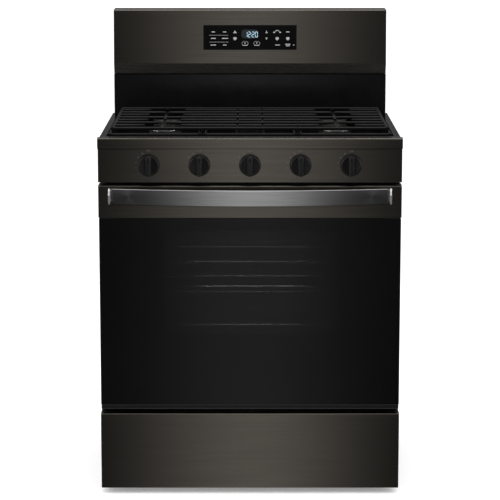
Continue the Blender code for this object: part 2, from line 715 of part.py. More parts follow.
def door_frame():
    """The door's steel tray: a front wall with the window, a rim on four sides and a lip below the glass."""
    back = GLASS_BACK_Y + GAP
    frame = box("door_frame", (-DOOR_HALF, back, DOOR_BOTTOM), (DOOR_HALF, DOOR_SHELL_BACK_Y, TRIM_BOTTOM - 0.0005),
                "black_paint")
    lip = box("door_lip", (-DOOR_HALF, FACE_Y, DOOR_BOTTOM), (DOOR_HALF, back + 0.001, DOOR_LIP_TOP))
    hollow = box("door_hollow", (-DOOR_HALF + SHEET, back + SHEET, DOOR_BOTTOM + SHEET),
                 (DOOR_HALF - SHEET, -0.2, TRIM_BOTTOM - 0.0005 - SHEET))
    window = box("door_window", (-WINDOW_HALF, -0.3, WINDOW_BOTTOM), (WINDOW_HALF, -0.2, WINDOW_TOP))
    join(frame, lip)
    cut(frame, hollow, window)
    for sign in (-1, 1):
        cut(frame, hinge_notch("door_slot", 0.20, DOOR_BOTTOM + 0.01, HINGE_Y - 0.011, sign))
    return frame


def door_top_trim():
    back = DOOR_SHELL_BACK_Y
    corner = 0.004
    top = arc((FACE_Y + corner, DOOR_TOP - corner), corner, 180, 90, 3)
    trim = plate("door_top_trim", "YZ", [[(FACE_Y, TRIM_BOTTOM)] + top + [(back, DOOR_TOP), (back, TRIM_BOTTOM)]],
                 -PANEL_HALF, PANEL_HALF, "black_steel")
    hollow = box("trim_hollow", (-PANEL_HALF + SHEET, FACE_Y + SHEET, TRIM_BOTTOM + SHEET),
                 (PANEL_HALF - SHEET, -0.2, DOOR_TOP - SHEET))
    return cut(trim, hollow)


def door_liner():
    """The inner face of the door, with the inner window's opening and a notch over each hinge arm."""
    half = DOOR_HALF - 0.004
    front = DOOR_SHELL_BACK_Y + GAP
    liner = plate("door_liner", "XZ", [
        rectangle(-half, half, DOOR_BOTTOM + 0.007, DOOR_TOP - 0.005),
        rectangle(-INNER_GLASS_HALF, INNER_GLASS_HALF, INNER_GLASS_BOTTOM, INNER_GLASS_TOP),
    ], front, DOOR_BACK_Y, "cavity_enamel")
    for sign in (-1, 1):
        cut(liner, hinge_notch("liner_notch", 0.20, HINGE_Z + 0.012, -0.26, sign))
    return liner


def door_inner_glass():
    outline = rectangle(-INNER_GLASS_HALF + GAP, INNER_GLASS_HALF - GAP, INNER_GLASS_BOTTOM + GAP,
                        INNER_GLASS_TOP - GAP)
    back = DOOR_BACK_Y - 0.0005
    return plate("door_inner_glass", "XZ", [outline], back - INNER_GLASS_THICK, back, "clear_glass")


def bow(x, offset):
    """Depth of the bowed handle at x: furthest out in the middle, nearest the door at its ends."""
    rise = HANDLE_END_Y - HANDLE_FRONT_Y
    radius = (HANDLE_HALF ** 2 + rise ** 2) / (2 * rise)
    return HANDLE_FRONT_Y + radius - math.sqrt(radius ** 2 - x ** 2) + offset


def door_handle():
    steps = 16
    half = HANDLE_HALF - 0.006
    xs = [-half + 2 * half * i / steps for i in range(steps + 1)]
    outline = [(x, bow(x, 0.0)) for x in xs] + [(x, bow(x, HANDLE_THICK)) for x in reversed(xs)]
    bar = plate("door_handle", "XY", [outline], HANDLE_BOTTOM, HANDLE_TOP, "black_steel")
    return soften(bar, 0.003)


def handle_bracket(sign):
    """The cap that closes the handle's end and stands it off the door."""
    inner, outer = HANDLE_HALF - 0.006 + GAP, HANDLE_HALF + 0.0015
    low_x, high_x = sorted((sign * inner, sign * outer))
    cap = box("handle_bracket_" + side_name(sign), (low_x, HANDLE_END_Y - 0.001, HANDLE_BOTTOM),
              (high_x, FACE_Y - GAP, HANDLE_TOP), "bright_steel")
    low_x, high_x = sorted((sign * (HANDLE_HALF - 0.030), sign * (outer - 0.001)))
    foot = box("bracket_foot_" + side_name(sign), (low_x, HANDLE_END_Y + HANDLE_THICK + 0.001, HANDLE_BOTTOM + 0.004),
               (high_x, FACE_Y - GAP, HANDLE_TOP - 0.004))
    soften(cap, 0.0015)
    join(cap, foot)
    return cap


def hinge_arm(sign):
    """The arm that stands out of the frame through its slot and carries the door on a round barrel."""
    low_x, high_x = sorted((sign * (HINGE_X - 0.003), sign * (HINGE_X + 0.003)))
    arm = box("hinge_arm_" + side_name(sign), (low_x, HINGE_Y, HINGE_Z - 0.006), (high_x, -0.185, HINGE_Z + 0.006),
              "bright_steel")
    barrel = cylinder("hinge_barrel_" + side_name(sign), (sign * (HINGE_X - 0.006), HINGE_Y, HINGE_Z),
                      (sign * (HINGE_X + 0.006), HINGE_Y, HINGE_Z), 0.0075)
    join(arm, barrel)


def door():
    moving = [door_glass(), door_frame(), door_top_trim(), door_liner(), door_inner_glass(), door_handle(),
              handle_bracket(-1), handle_bracket(1)]
    parent_to_axis("door_axis", (0, HINGE_Y, HINGE_Z), moving)


# ---------------------------------------------------------------- drawer

def drawer_front():
    corner = 0.004
    top = arc((FACE_Y + 0.0015 + corner, DRAWER_TOP - corner), corner, 180, 90, 3)
    outline = [(FACE_Y, DRAWER_BOTTOM), (FACE_Y, DRAWER_CREASE)] + top
    outline += [(PANEL_BACK_Y, DRAWER_TOP), (PANEL_BACK_Y, DRAWER_BOTTOM)]
    front = plate("drawer_front", "YZ", [outline], -PANEL_HALF, PANEL_HALF, "black_steel")
    hollow = box("drawer_front_hollow", (-PANEL_HALF + SHEET, FACE_Y + SHEET + 0.0015, DRAWER_BOTTOM + SHEET),
                 (PANEL_HALF - SHEET, -0.2, DRAWER_TOP - SHEET))
    return cut(front, hollow)


def drawer_tray():
    front = PANEL_BACK_Y + GAP
    tray = box("drawer_tray", (-TRAY_HALF, front, TRAY_BOTTOM), (TRAY_HALF, TRAY_REAR_Y, TRAY_TOP), "galvanised")
    rim = box("tray_rim", (-TRAY_HALF - 0.022, front, TRAY_TOP - 0.003), (TRAY_HALF + 0.022, TRAY_REAR_Y, TRAY_TOP))
    hollow = box("tray_hollow", (-TRAY_HALF + SHEET, front + SHEET, TRAY_BOTTOM + SHEET),
                 (TRAY_HALF - SHEET, TRAY_REAR_Y - SHEET, TRAY_TOP + 0.01))
    join(tray, rim)
    return cut(tray, hollow)


# ---------------------------------------------------------------- backguard

def backguard_shell():
    """The folded box behind the console, open at the front, its side walls following the console."""
    profile = [(REAR_Y, DECK_BOTTOM), (REAR_Y, HEIGHT - 0.003), (CONSOLE_TOP_Y + 0.003, HEIGHT - 0.003),
               (CONSOLE_CREASE_Y + 0.0033, CONSOLE_CREASE), (GUARD_FRONT_Y + 0.0125, CONSOLE_BOTTOM - 0.0008),
               (GUARD_FRONT_Y, CONSOLE_BOTTOM - 0.0008), (GUARD_FRONT_Y, DECK_BOTTOM)]
    shell = plate("backguard_shell", "YZ", [profile], -GUARD_HALF, GUARD_HALF, "black_paint")
    hollow = box("backguard_hollow", (-GUARD_HALF + SHEET, 0.2, DECK_BOTTOM + SHEET),
                 (GUARD_HALF - SHEET, REAR_Y - SHEET, HEIGHT - 0.003 - SHEET))
    cut(shell, hollow)


def backguard_console():
    """The fascia: a face that leans back, a rounded top that runs to the wall and a lower chamfer."""
    corner = 0.004
    top = arc((CONSOLE_TOP_Y + corner, HEIGHT - corner), corner, 180, 90, 3)
    outer = [(GUARD_FRONT_Y + 0.0095, CONSOLE_BOTTOM), (CONSOLE_CREASE_Y, CONSOLE_CREASE)] + top
    outer += [(REAR_Y, HEIGHT), (REAR_Y, HEIGHT - 0.003 + GAP), (CONSOLE_TOP_Y + 0.0028, HEIGHT - 0.003 + GAP)]
    outer += [(CONSOLE_CREASE_Y + 0.0025, CONSOLE_CREASE), (GUARD_FRONT_Y + 0.0112, CONSOLE_BOTTOM)]
    plate("backguard_console", "YZ", [outer], -GUARD_HALF, GUARD_HALF, "black_steel")


def backguard_splash():
    half = GUARD_HALF - SHEET - GAP
    box("backguard_splash", (-half, SPLASH_Y, DECK_BOTTOM + SHEET + GAP), (half, SPLASH_Y + SHEET, CONSOLE_BOTTOM - 0.002),
        "porcelain")


def touch_panel():
    lean = math.atan2(CONSOLE_TOP_Y - CONSOLE_CREASE_Y, HEIGHT - 0.004 - CONSOLE_CREASE)
    face_y = CONSOLE_CREASE_Y + (TOUCH_Z - CONSOLE_CREASE) * math.tan(lean)
    half_height = TOUCH_HEIGHT / 2
    glass = box("touch_panel", (-TOUCH_HALF, -0.0028, -half_height), (TOUCH_HALF, -0.0003, half_height), "black_glass")
    glass.location = (0, face_y, TOUCH_Z)
    glass.rotation_euler = (-lean, 0, 0)
    soften(glass, 0.0008, 1)


# ---------------------------------------------------------------- assembly

def build_carcass():
    for sign in (-1, 1):
        side_panel(sign)
        hinge_arm(sign)
    rear_panel()
    base_pan()
    for name, x, y in (("front_left", -0.33, -0.20), ("front_right", 0.33, -0.20),
                       ("rear_left", -0.33, 0.31), ("rear_right", 0.33, 0.31)):
        leveling_foot(name, x, y)
    front_frame()
    door_gasket()


def build_oven():
    oven_liner()
    oven_floor()
    bake_burner()
    broil_burner()
    oven_light_lens()
    for name, height in RACK_HEIGHTS.items():
        parent_to_axis(f"rack_{name}_axis", (0, RACK_FRONT_Y, height), [oven_rack(name, height)])


def build_cooktop():
    cooktop()
    for name, (x, y) in BURNER_SPOTS.items():
        burner_base(name, x, y)
        burner_cap(name, x, y)
    centre_burner()
    for name, item in grates().items():
        parent_to_axis(f"grate_{name}_axis", (0, 0, GRATE_TOP), [item])


def build_controls():
    control_panel()
    gas_manifold()
    pressure_regulator()
    for name, x in KNOB_SPOTS.items():
        valve_stem(name, x)
        knob(name, x)


def build_backguard():
    backguard_shell()
    backguard_console()
    backguard_splash()
    touch_panel()


clear_scene()
PARTS = make_collection("gas_range")
CUTTERS = make_collection("cutters")
MATERIALS = {name: make_material(name) for name in FINISHES}
build_carcass()
build_oven()
build_cooktop()
build_controls()
door()
parent_to_axis("drawer_axis", (0, FACE_Y, DRAWER_TOP), [drawer_front(), drawer_tray()])
build_backguard()
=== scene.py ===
"""Looks of the freestanding gas range: finishes, fine pieces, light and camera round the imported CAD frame."""

import json
import math

import bmesh
import bpy
from mathutils import Matrix, Vector


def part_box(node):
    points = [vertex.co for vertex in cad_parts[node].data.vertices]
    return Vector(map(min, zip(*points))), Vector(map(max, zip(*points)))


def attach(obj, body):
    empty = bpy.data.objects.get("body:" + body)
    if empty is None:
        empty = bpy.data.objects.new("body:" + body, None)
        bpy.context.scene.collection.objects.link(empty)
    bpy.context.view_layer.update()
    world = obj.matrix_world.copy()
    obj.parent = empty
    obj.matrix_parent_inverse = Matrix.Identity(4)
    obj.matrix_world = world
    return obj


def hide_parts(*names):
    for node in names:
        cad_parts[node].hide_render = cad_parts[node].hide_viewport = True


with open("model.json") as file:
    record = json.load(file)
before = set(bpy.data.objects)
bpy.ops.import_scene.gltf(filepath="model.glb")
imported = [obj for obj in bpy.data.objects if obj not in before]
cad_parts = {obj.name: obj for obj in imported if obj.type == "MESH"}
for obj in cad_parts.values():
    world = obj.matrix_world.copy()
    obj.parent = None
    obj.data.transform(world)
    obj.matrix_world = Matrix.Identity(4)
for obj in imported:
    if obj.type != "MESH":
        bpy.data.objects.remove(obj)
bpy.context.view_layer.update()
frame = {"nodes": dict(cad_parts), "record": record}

MM = 0.001
BODY = "range_body"
DOOR = "oven_door"
DRAWER = "storage_drawer"
PANEL_LOW, PANEL_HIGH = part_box("control_panel")
HANDLE_LOW, HANDLE_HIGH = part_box("door_handle")
FACE_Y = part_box("door_glass")[0].y
DECK_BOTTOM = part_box("cooktop")[0].z
DECK_FLOOR = DECK_BOTTOM + 13.5 * MM
BURNER_SEAT = DECK_BOTTOM + 13.8 * MM
SIDES = (("left", -1), ("right", 1))
NODE_SLOTS = {part["node"]: part["material_slot"] for part in frame["record"]["subparts"]}


# ---------------- shader helpers

def start_material(name):
    material = bpy.data.materials.new(name)
    material.use_nodes = True
    tree = material.node_tree
    return material, tree, tree.nodes["Principled BSDF"]


def feed(tree, value, socket):
    """Links another node's output into a socket, or sets a plain value on it."""
    if isinstance(value, bpy.types.NodeSocket):
        tree.links.new(value, socket)
    else:
        socket.default_value = value


def add_node(tree, kind, settings=None, **inputs):
    """A node with its properties and its input values or links, named with spaces as underscores."""
    made = tree.nodes.new(kind)
    for key, value in (settings or {}).items():
        setattr(made, key, value)
    for key, value in inputs.items():
        feed(tree, value, made.inputs[key.replace("_", " ")])
    return made


def place_coords(tree, scale=(1, 1, 1)):
    """The place on the object in metres, stretched by scale."""
    coords = add_node(tree, "ShaderNodeTexCoord")
    return add_node(tree, "ShaderNodeMapping", Vector=coords.outputs["Object"], Scale=scale).outputs[0]


def noise(tree, scale, stretch=(1, 1, 1), detail=3.0, roughness=0.5):
    made = add_node(tree, "ShaderNodeTexNoise", Vector=place_coords(tree, stretch), Scale=scale,
                    Detail=detail, Roughness=roughness)
    return made.outputs["Fac"]


def remap(tree, value, low, high, to_low=0.0, to_high=1.0):
    made = add_node(tree, "ShaderNodeMapRange", Value=value, From_Min=low, From_Max=high,
                    To_Min=to_low, To_Max=to_high)
    return made.outputs[0]


def blend_colours(tree, factor, first, second):
    made = add_node(tree, "ShaderNodeMix", {"data_type": "RGBA"})
    feed(tree, factor, made.inputs[0])
    for colour, socket in ((first, made.inputs[6]), (second, made.inputs[7])):
        feed(tree, (*colour, 1.0) if isinstance(colour, tuple) else colour, socket)
    return made.outputs[2]


def scaled(colour, factor):
    return tuple(factor * channel for channel in colour)


def maths(tree, operation, *values):
    made = add_node(tree, "ShaderNodeMath", {"operation": operation})
    for value, socket in zip(values, made.inputs):
        feed(tree, value, socket)
    return made.outputs[0]


def split_axes(tree, vector):
    """The X, Y and Z outputs of a vector."""
    return add_node(tree, "ShaderNodeSeparateXYZ", Vector=vector).outputs


def connect(tree, shader, colour, roughness, relief, depth, **settings):
    """Connects a finish's colour, roughness and relief, and sets its other inputs by name."""
    feed(tree, colour, shader.inputs["Base Color"])
    feed(tree, roughness, shader.inputs["Roughness"])
    skin = add_node(tree, "ShaderNodeBump", Height=relief, Distance=depth, Strength=1.0)
    feed(tree, skin.outputs[0], shader.inputs["Normal"])
    for key, value in settings.items():
        feed(tree, value, shader.inputs[key.replace("_", " ")])


def finish(tree, shader, colour, grain, rough, depth, **settings):
    """Connects a finish whose one grain carries both its roughness, from low to high, and its relief."""
    connect(tree, shader, colour, remap(tree, grain, 0.3, 0.7, *rough), grain, depth, **settings)


def sharp_turn_mask(tree, radius):
    """Bright where the surface turns sharply, from the angle between the plain and the rounded normal."""
    rounded = add_node(tree, "ShaderNodeBevel", {"samples": 4}, Radius=radius).outputs[0]
    plain = add_node(tree, "ShaderNodeNewGeometry").outputs["Normal"]
    made = add_node(tree, "ShaderNodeVectorMath", {"operation": "DOT_PRODUCT"})
    feed(tree, rounded, made.inputs[0])
    feed(tree, plain, made.inputs[1])
    return remap(tree, made.outputs["Value"], 0.99, 0.90)


# ---------------- finishes

WINDOW_TINT = 0.56
GLASS_GLOSS = 0.31
FRIT_FADE = 14 * MM
FRIT_PITCH = 2.8 * MM


def brushed_steel(name, colour, shade, roughness, anisotropy, metallic=1.0):
    """Metal brushed along X: long fine streaks in colour, roughness and relief."""
    material, tree, shader = start_material(name)
    streaks = noise(tree, 1.0, (5, 260, 620), 4.0, 0.6)
    clouds = noise(tree, 3.5, (0.6, 1, 1), 2.0)
    tone = maths(tree, "ADD", maths(tree, "MULTIPLY", streaks, 0.75), maths(tree, "MULTIPLY", clouds, 0.25))
    connect(tree, shader, blend_colours(tree, remap(tree, tone, 0.35, 0.65), shade, colour),
            remap(tree, tone, 0.3, 0.7, roughness * 1.15, roughness * 0.88), streaks, 0.02 * MM,
            Metallic=metallic, Anisotropic=anisotropy, Anisotropic_Rotation=0.25)
    return material


def plated_steel(name, colour, roughness, ripple):
    material, tree, shader = start_material(name)
    mottle = noise(tree, 90, detail=4.0)
    finish(tree, shader, blend_colours(tree, remap(tree, mottle, 0.35, 0.7), scaled(colour, 0.82), colour),
           mottle, (roughness, roughness * 1.8), ripple, Metallic=1.0)
    return material


def black_paint():
    """Satin black powder coat with a fine orange-peel relief."""
    material, tree, shader = start_material("satin_black_paint")
    peel = noise(tree, 420, detail=3.0)
    drift = noise(tree, 5, detail=2.0)
    finish(tree, shader, blend_colours(tree, drift, (0.0090, 0.0090, 0.0094), (0.0135, 0.0135, 0.0138)),
           peel, (0.34, 0.44), 0.05 * MM)
    return material


def porcelain(name="black_porcelain", body=1.0, gloss=0.30):
    """Glossy black enamel with a slow surface wave and a faint fleck; body scales its paleness."""
    material, tree, shader = start_material(name)
    wave = noise(tree, 26, detail=2.0)
    fleck = remap(tree, noise(tree, 900, detail=1.0), 0.62, 0.75)
    colour = blend_colours(tree, fleck, scaled((0.0012, 0.0012, 0.0013), body),
                           scaled((0.0045, 0.0045, 0.0048), body))
    finish(tree, shader, colour, wave, (0.10, 0.17), 0.12 * MM, Specular_IOR_Level=gloss)
    return material


def cavity_enamel():
    """Dark grey-blue oven enamel with pale specks."""
    material, tree, shader = start_material("speckled_enamel")
    cells = add_node(tree, "ShaderNodeTexVoronoi", Vector=place_coords(tree), Scale=260.0)
    specks = remap(tree, cells.outputs["Distance"], 0.22, 0.12)
    chosen = maths(tree, "MULTIPLY", specks, remap(tree, noise(tree, 70), 0.50, 0.58))
    connect(tree, shader, blend_colours(tree, chosen, (0.0055, 0.0058, 0.0068), (0.16, 0.17, 0.19)),
            remap(tree, chosen, 0.0, 1.0, 0.24, 0.34), noise(tree, 60), 0.08 * MM)
    return material


def cast_iron():
    """Matt enamelled casting: a pebbled skin with painted light, near black on its sides as painted shade and
    paler on top, in random patches, as painted light from above.
    """
    material, tree, shader = start_material("cast_iron_grate")
    grain = noise(tree, 750, detail=5.0, roughness=0.65)
    patches = noise(tree, 30, detail=3.0)
    # Painted light: faces that look up get this paler colour, as if lit from above, and the sides get a near
    # black, as if in shade.
    painted_top_light = blend_colours(tree, patches, (0.0120, 0.0120, 0.0118), (0.0200, 0.0200, 0.0196))
    normal = add_node(tree, "ShaderNodeNewGeometry").outputs["Normal"]
    lit_top_mask = remap(tree, split_axes(tree, normal)["Z"], 0.20, 0.60)
    colour = blend_colours(tree, lit_top_mask, (0.0006, 0.0006, 0.0007), painted_top_light)
    # Paler in random patches where the surface turns sharply.
    pale_sharp_edges = maths(tree, "MULTIPLY", sharp_turn_mask(tree, 1.2 * MM), remap(tree, patches, 0.35, 0.65, 0.0, 0.35))
    finish(tree, shader, blend_colours(tree, pale_sharp_edges, colour, (0.020, 0.0195, 0.019)),
           grain, (0.42, 0.60), 0.22 * MM, Specular_IOR_Level=0.14)
    return material


def moulded(name, fineness, detail, dark, light, rough, depth, gloss):
    """A fine-grained black skin with slow drifts in its tone: a lid's enamel or a knob's plastic."""
    material, tree, shader = start_material(name)
    finish(tree, shader, blend_colours(tree, noise(tree, 60), dark, light),
           noise(tree, fineness, detail=detail), rough, depth, Specular_IOR_Level=gloss)
    return material


def burner_alloy():
    """Cast aluminium, greyed and straw-coloured where the flame has tinted it."""
    material, tree, shader = start_material("burner_alloy")
    grain = noise(tree, 600, detail=4.0)
    tint = remap(tree, noise(tree, 45, detail=2.0), 0.42, 0.62)
    finish(tree, shader, blend_colours(tree, tint, (0.17, 0.168, 0.162), (0.11, 0.103, 0.092)),
           grain, (0.34, 0.50), 0.12 * MM, Metallic=0.9)
    return material


def galvanised():
    """Zinc-coated sheet with its spangle of crystals."""
    material, tree, shader = start_material("galvanised_sheet")
    spangle = add_node(tree, "ShaderNodeTexVoronoi", Vector=place_coords(tree), Scale=70.0).outputs["Color"]
    grey = add_node(tree, "ShaderNodeSeparateColor", Color=spangle).outputs[0]
    connect(tree, shader, blend_colours(tree, grey, (0.33, 0.34, 0.35), (0.47, 0.48, 0.49)),
            remap(tree, grey, 0.0, 1.0, 0.36, 0.52), grey, 0.02 * MM, Metallic=0.7)
    return material


def black_glass(name="black_glass", window=False, gloss=GLASS_GLOSS):
    """Near-black glass. A door's window inside its printed border lets a little light through."""
    material, tree, shader = start_material(name)
    smear = noise(tree, 8, (1, 1, 0.5), 3.0)
    finish(tree, shader, blend_colours(tree, smear, (0.0012, 0.0012, 0.0014), (0.0024, 0.0024, 0.0026)),
           smear, (0.05, 0.08), 0.15 * MM, Specular_IOR_Level=gloss)
    if window:
        cover = window_mask(tree)
        feed(tree, cover, shader.inputs["Alpha"])
        feed(tree, maths(tree, "DIVIDE", gloss, cover), shader.inputs["Specular IOR Level"])
    return material


def window_mask(tree):
    """1 on the printed border and WINDOW_TINT in the window, with rows of dots where they meet."""
    low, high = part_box("door_inner_glass")
    middle = (low + high) / 2
    axes = split_axes(tree, place_coords(tree))
    edges = []
    for axis, centre, half in (("X", middle.x, (high.x - low.x) / 2), ("Z", middle.z, (high.z - low.z) / 2)):
        offset = maths(tree, "ABSOLUTE", maths(tree, "SUBTRACT", axes[axis], centre))
        edges.append(maths(tree, "SUBTRACT", offset, half - FRIT_FADE))
    into_border = maths(tree, "DIVIDE", maths(tree, "MAXIMUM", *edges), FRIT_FADE)
    waves = [maths(tree, "SINE", maths(tree, "MULTIPLY", axes[axis], 2 * math.pi / FRIT_PITCH))
             for axis in "XZ"]
    dots = maths(tree, "MULTIPLY", *waves)
    printed = maths(tree, "ADD", maths(tree, "MULTIPLY", dots, 0.5), into_border)
    return remap(tree, printed, 0.40, 0.60, WINDOW_TINT, 1.0)


def clear_glass():
    """Thin clear glass: mostly see-through, with a faint green body and its own reflections."""
    material, tree, shader = start_material("clear_glass")
    smear = noise(tree, 12)
    finish(tree, shader, blend_colours(tree, smear, (0.010, 0.012, 0.012), (0.020, 0.023, 0.022)),
           smear, (0.02, 0.05), 0.05 * MM, Specular_IOR_Level=0.35,
           Alpha=remap(tree, smear, 0.3, 0.7, 0.16, 0.24))
    return material


def rubber():
    material, tree, shader = start_material("black_rubber")
    grain = noise(tree, 500, detail=4.0)
    finish(tree, shader, blend_colours(tree, grain, (0.010, 0.010, 0.010), (0.022, 0.021, 0.020)),
           grain, (0.62, 0.82), 0.12 * MM)
    return material


def brass():
    material, tree, shader = start_material("turned_brass")
    rings = noise(tree, 1.0, (900, 60, 900), 2.0)
    finish(tree, shader, blend_colours(tree, rings, (0.50, 0.36, 0.14), (0.66, 0.50, 0.22)),
           rings, (0.22, 0.36), 0.03 * MM, Metallic=1.0)
    return material


def print_ink(name, colour, glow=0.0):
    """Screen-printed marks, a little uneven; glow lights them from behind."""
    material, tree, shader = start_material(name)
    tone = blend_colours(tree, noise(tree, 1500, detail=2.0), scaled(colour, 0.8), colour)
    feed(tree, tone, shader.inputs["Base Color"])
    shader.inputs["Roughness"].default_value = 0.45
    if glow:
        feed(tree, tone, shader.inputs["Emission Color"])
        shader.inputs["Emission Strength"].default_value = glow
    return material


BLACK_STAINLESS = ((0.207, 0.190, 0.164), (0.152, 0.139, 0.119))
BRONZE = brushed_steel("black_stainless", *BLACK_STAINLESS, 0.20, 0.6)
HANDLE_STEEL = brushed_steel("handle_stainless", (0.66, 0.66, 0.66), (0.54, 0.54, 0.545), 0.18, 0.6)
CHAMFER_STEEL = brushed_steel("fold_stainless", *BLACK_STAINLESS, 0.26, 0.5, 0.93)
# A darker copy of the black stainless, for the painted shadow line under the panel's band.
CREASE_SHADE = brushed_steel("crease_shade", (0.150, 0.137, 0.118), (0.115, 0.105, 0.09), 0.30, 0.5)
CHROME = plated_steel("polished_plating", (0.82, 0.82, 0.81), 0.07, 0.01 * MM)
RACK_STEEL = plated_steel("nickel_wire", (0.78, 0.77, 0.74), 0.14, 0.05 * MM)
FINISHES = {
    "black_steel": BRONZE,
    "black_paint": black_paint(),
    "galvanised": galvanised(),
    "porcelain": porcelain(),
    "cavity_enamel": cavity_enamel(),
    "cast_iron": cast_iron(),
    "burner_alloy": burner_alloy(),
    "black_glass": black_glass(),
    "clear_glass": clear_glass(),
    "bright_steel": RACK_STEEL,
    "knob_plastic": moulded("knob_plastic", 900, 2.0, (0.0028, 0.0028, 0.0030), (0.0056, 0.0056, 0.0058),
                            (0.26, 0.36), 0.03 * MM, 0.30),
    "rubber": rubber(),
    "brass": brass(),
}
CAP_ENAMEL = moulded("burner_cap_enamel", 500, 3.0, (0.0022, 0.0022, 0.0022), (0.0050, 0.0050, 0.0050),
                     (0.38, 0.52), 0.06 * MM, 0.22)
WHITE_PRINT = print_ink("pale_print", (0.62, 0.62, 0.60))
ICON_PRINT = print_ink("lit_icons", (0.38, 0.38, 0.37), 0.10)
CLOCK_GLOW = print_ink("clock_digits", (0.36, 0.56, 0.68), 0.60)
TICK_PRINT = print_ink("panel_print", (0.15, 0.145, 0.135))
DISPLAY_TINT = print_ink("display_window", (0.006, 0.011, 0.014), 0.25)
CERAMIC = print_ink("igniter_ceramic", (0.20, 0.195, 0.185))
OWN_FINISH = {
    "door_glass": black_glass("black_door_glass", window=True),
    "backguard_splash": porcelain("splash_porcelain", 2.6, 0.34),
    "touch_panel": black_glass("keypad_glass", gloss=0.08),
}


# ---------------- mesh helpers

def round_edges(item, width, segments, angle):
    bevel = item.modifiers.new("Edges", "BEVEL")
    bevel.width = width
    bevel.segments = segments
    bevel.limit_method = "ANGLE"
    bevel.angle_limit = math.radians(angle)
    return bevel


def refine(node):
    """Gives a CAD node its procedural finish and, by modifiers only, small rounded edges."""
    item = frame["nodes"][node]
    item.data.materials.clear()
    item.data.materials.append(OWN_FINISH.get(node) or FINISHES[NODE_SLOTS[node]])
    if "custom_normal" in item.data.attributes:
        item.data.attributes.remove(item.data.attributes["custom_normal"])
    weld = item.modifiers.new("Weld", "WELD")
    weld.merge_threshold = 0.01 * MM
    round_edges(item, 0.5 * MM, 2, 35)
    item.data.shade_smooth()
    weighted = item.modifiers.new("Flat faces", "WEIGHTED_NORMAL")
    weighted.weight = 100
    weighted.keep_sharp = True


def link_mesh(name, shape, material):
    """Turns a finished shape into an object in the scene."""
    mesh = bpy.data.meshes.new(name)
    shape.to_mesh(mesh)
    shape.free()
    mesh.materials.append(material)
    item = bpy.data.objects.new(name, mesh)
    bpy.context.scene.collection.objects.link(item)
    return item


def make_piece(name, shape, material, body, replaces=(), sharp=38, edge=0.0):
    bmesh.ops.recalc_face_normals(shape, faces=shape.faces)
    item = link_mesh(name, shape, material)
    item.data.shade_smooth()
    item.data.set_sharp_from_angle(angle=math.radians(sharp))
    if edge:
        round_edges(item, edge, 3, 30).harden_normals = True
    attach(item, body)
    if replaces:
        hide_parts(*replaces)
    return item


def rounded_ring(width, height, radius, steps=4):
    """Points of a rounded rectangle, centred, counter-clockwise."""
    radius = min(radius, width / 2 - 1e-5, height / 2 - 1e-5)
    points = []
    for quarter, (sx, sy) in enumerate(((1, 1), (-1, 1), (-1, -1), (1, -1))):
        for i in range(steps + 1):
            angle = math.pi / 2 * (quarter + i / steps)
            points.append((sx * (width / 2 - radius) + radius * math.cos(angle),
                           sy * (height / 2 - radius) + radius * math.sin(angle)))
    return points


def loft(shape, rings, closed=False):
    """Skins rings of equal length, in order, then closes both ends or joins the last ring to the first."""
    layers = [[shape.verts.new(point) for point in ring] for ring in rings]
    followers = layers[1:] + layers[:1] if closed else layers[1:]
    for near, far in zip(layers, followers):
        for i in range(len(near)):
            j = (i + 1) % len(near)
            shape.faces.new((near[i], near[j], far[j], far[i]))
    if not closed:
        shape.faces.new(layers[0])
        shape.faces.new(layers[-1])


def add_box(shape, low, high, edge=0.0, segments=2):
    """A box with its edges rounded by edge."""
    low, high = Vector(low), Vector(high)
    made = bmesh.ops.create_cube(shape, size=1.0)["verts"]
    bmesh.ops.scale(shape, vec=high - low, verts=made)
    bmesh.ops.translate(shape, vec=(low + high) / 2, verts=made)
    if edge:
        edges = list({link for vert in made for link in vert.link_edges})
        bmesh.ops.bevel(shape, geom=edges, offset=edge, segments=segments, profile=0.6, affect="EDGES")


def turn(shape, profile, segments, matrix):
    """A lathed form from (radius, height) points that start and end on the axis."""
    layers = []
    for radius, height in profile:
        if radius < 1e-6:
            layers.append([shape.verts.new(matrix @ Vector((0, 0, height)))])
            continue
        ring = []
        for i in range(segments):
            angle = 2 * math.pi * i / segments
            place = Vector((radius * math.cos(angle), radius * math.sin(angle), height))
            ring.append(shape.verts.new(matrix @ place))
        layers.append(ring)
    for near, far in zip(layers, layers[1:]):
        for i in range(segments):
            j = (i + 1) % segments
            corners = [near[i % len(near)], near[j % len(near)], far[j % len(far)], far[i % len(far)]]
            shape.faces.new(list(dict.fromkeys(corners)))


def sweep_round(shape, path, radius, sides, closed=False):
    """A round wire along a path of points."""
    path = [Vector(point) for point in path]
    rings = []
    count = len(path)
    for i, point in enumerate(path):
        ahead = path[(i + 1) % count] if closed or i < count - 1 else point
        behind = path[i - 1] if closed or i else point
        along = (ahead - behind).normalized()
        side = along.cross(Vector((0, 0, 1)))
        if side.length < 0.05:
            side = along.cross(Vector((0, 1, 0)))
        side.normalize()
        up = side.cross(along)
        rings.append([point + radius * (side * math.cos(a) + up * math.sin(a))
                      for a in (2 * math.pi * k / sides for k in range(sides))])
    loft(shape, rings, closed)


def box_piece(name, low, high, edge, material, body):
    shape = bmesh.new()
    add_box(shape, low, high, edge)
    make_piece(name, shape, material, body)


def turned_piece(name, profile, segments, place, material, replaced=()):
    shape = bmesh.new()
    turn(shape, profile, segments, place)
    make_piece(name, shape, material, BODY, replaced)


def along_y(x, y, z):
    """Carries a form built along +Z to point out of the front, with its base at the given place."""
    return Matrix.Translation((x, y, z)) @ Matrix.Rotation(math.pi / 2, 4, "X")


# ---------------- handle

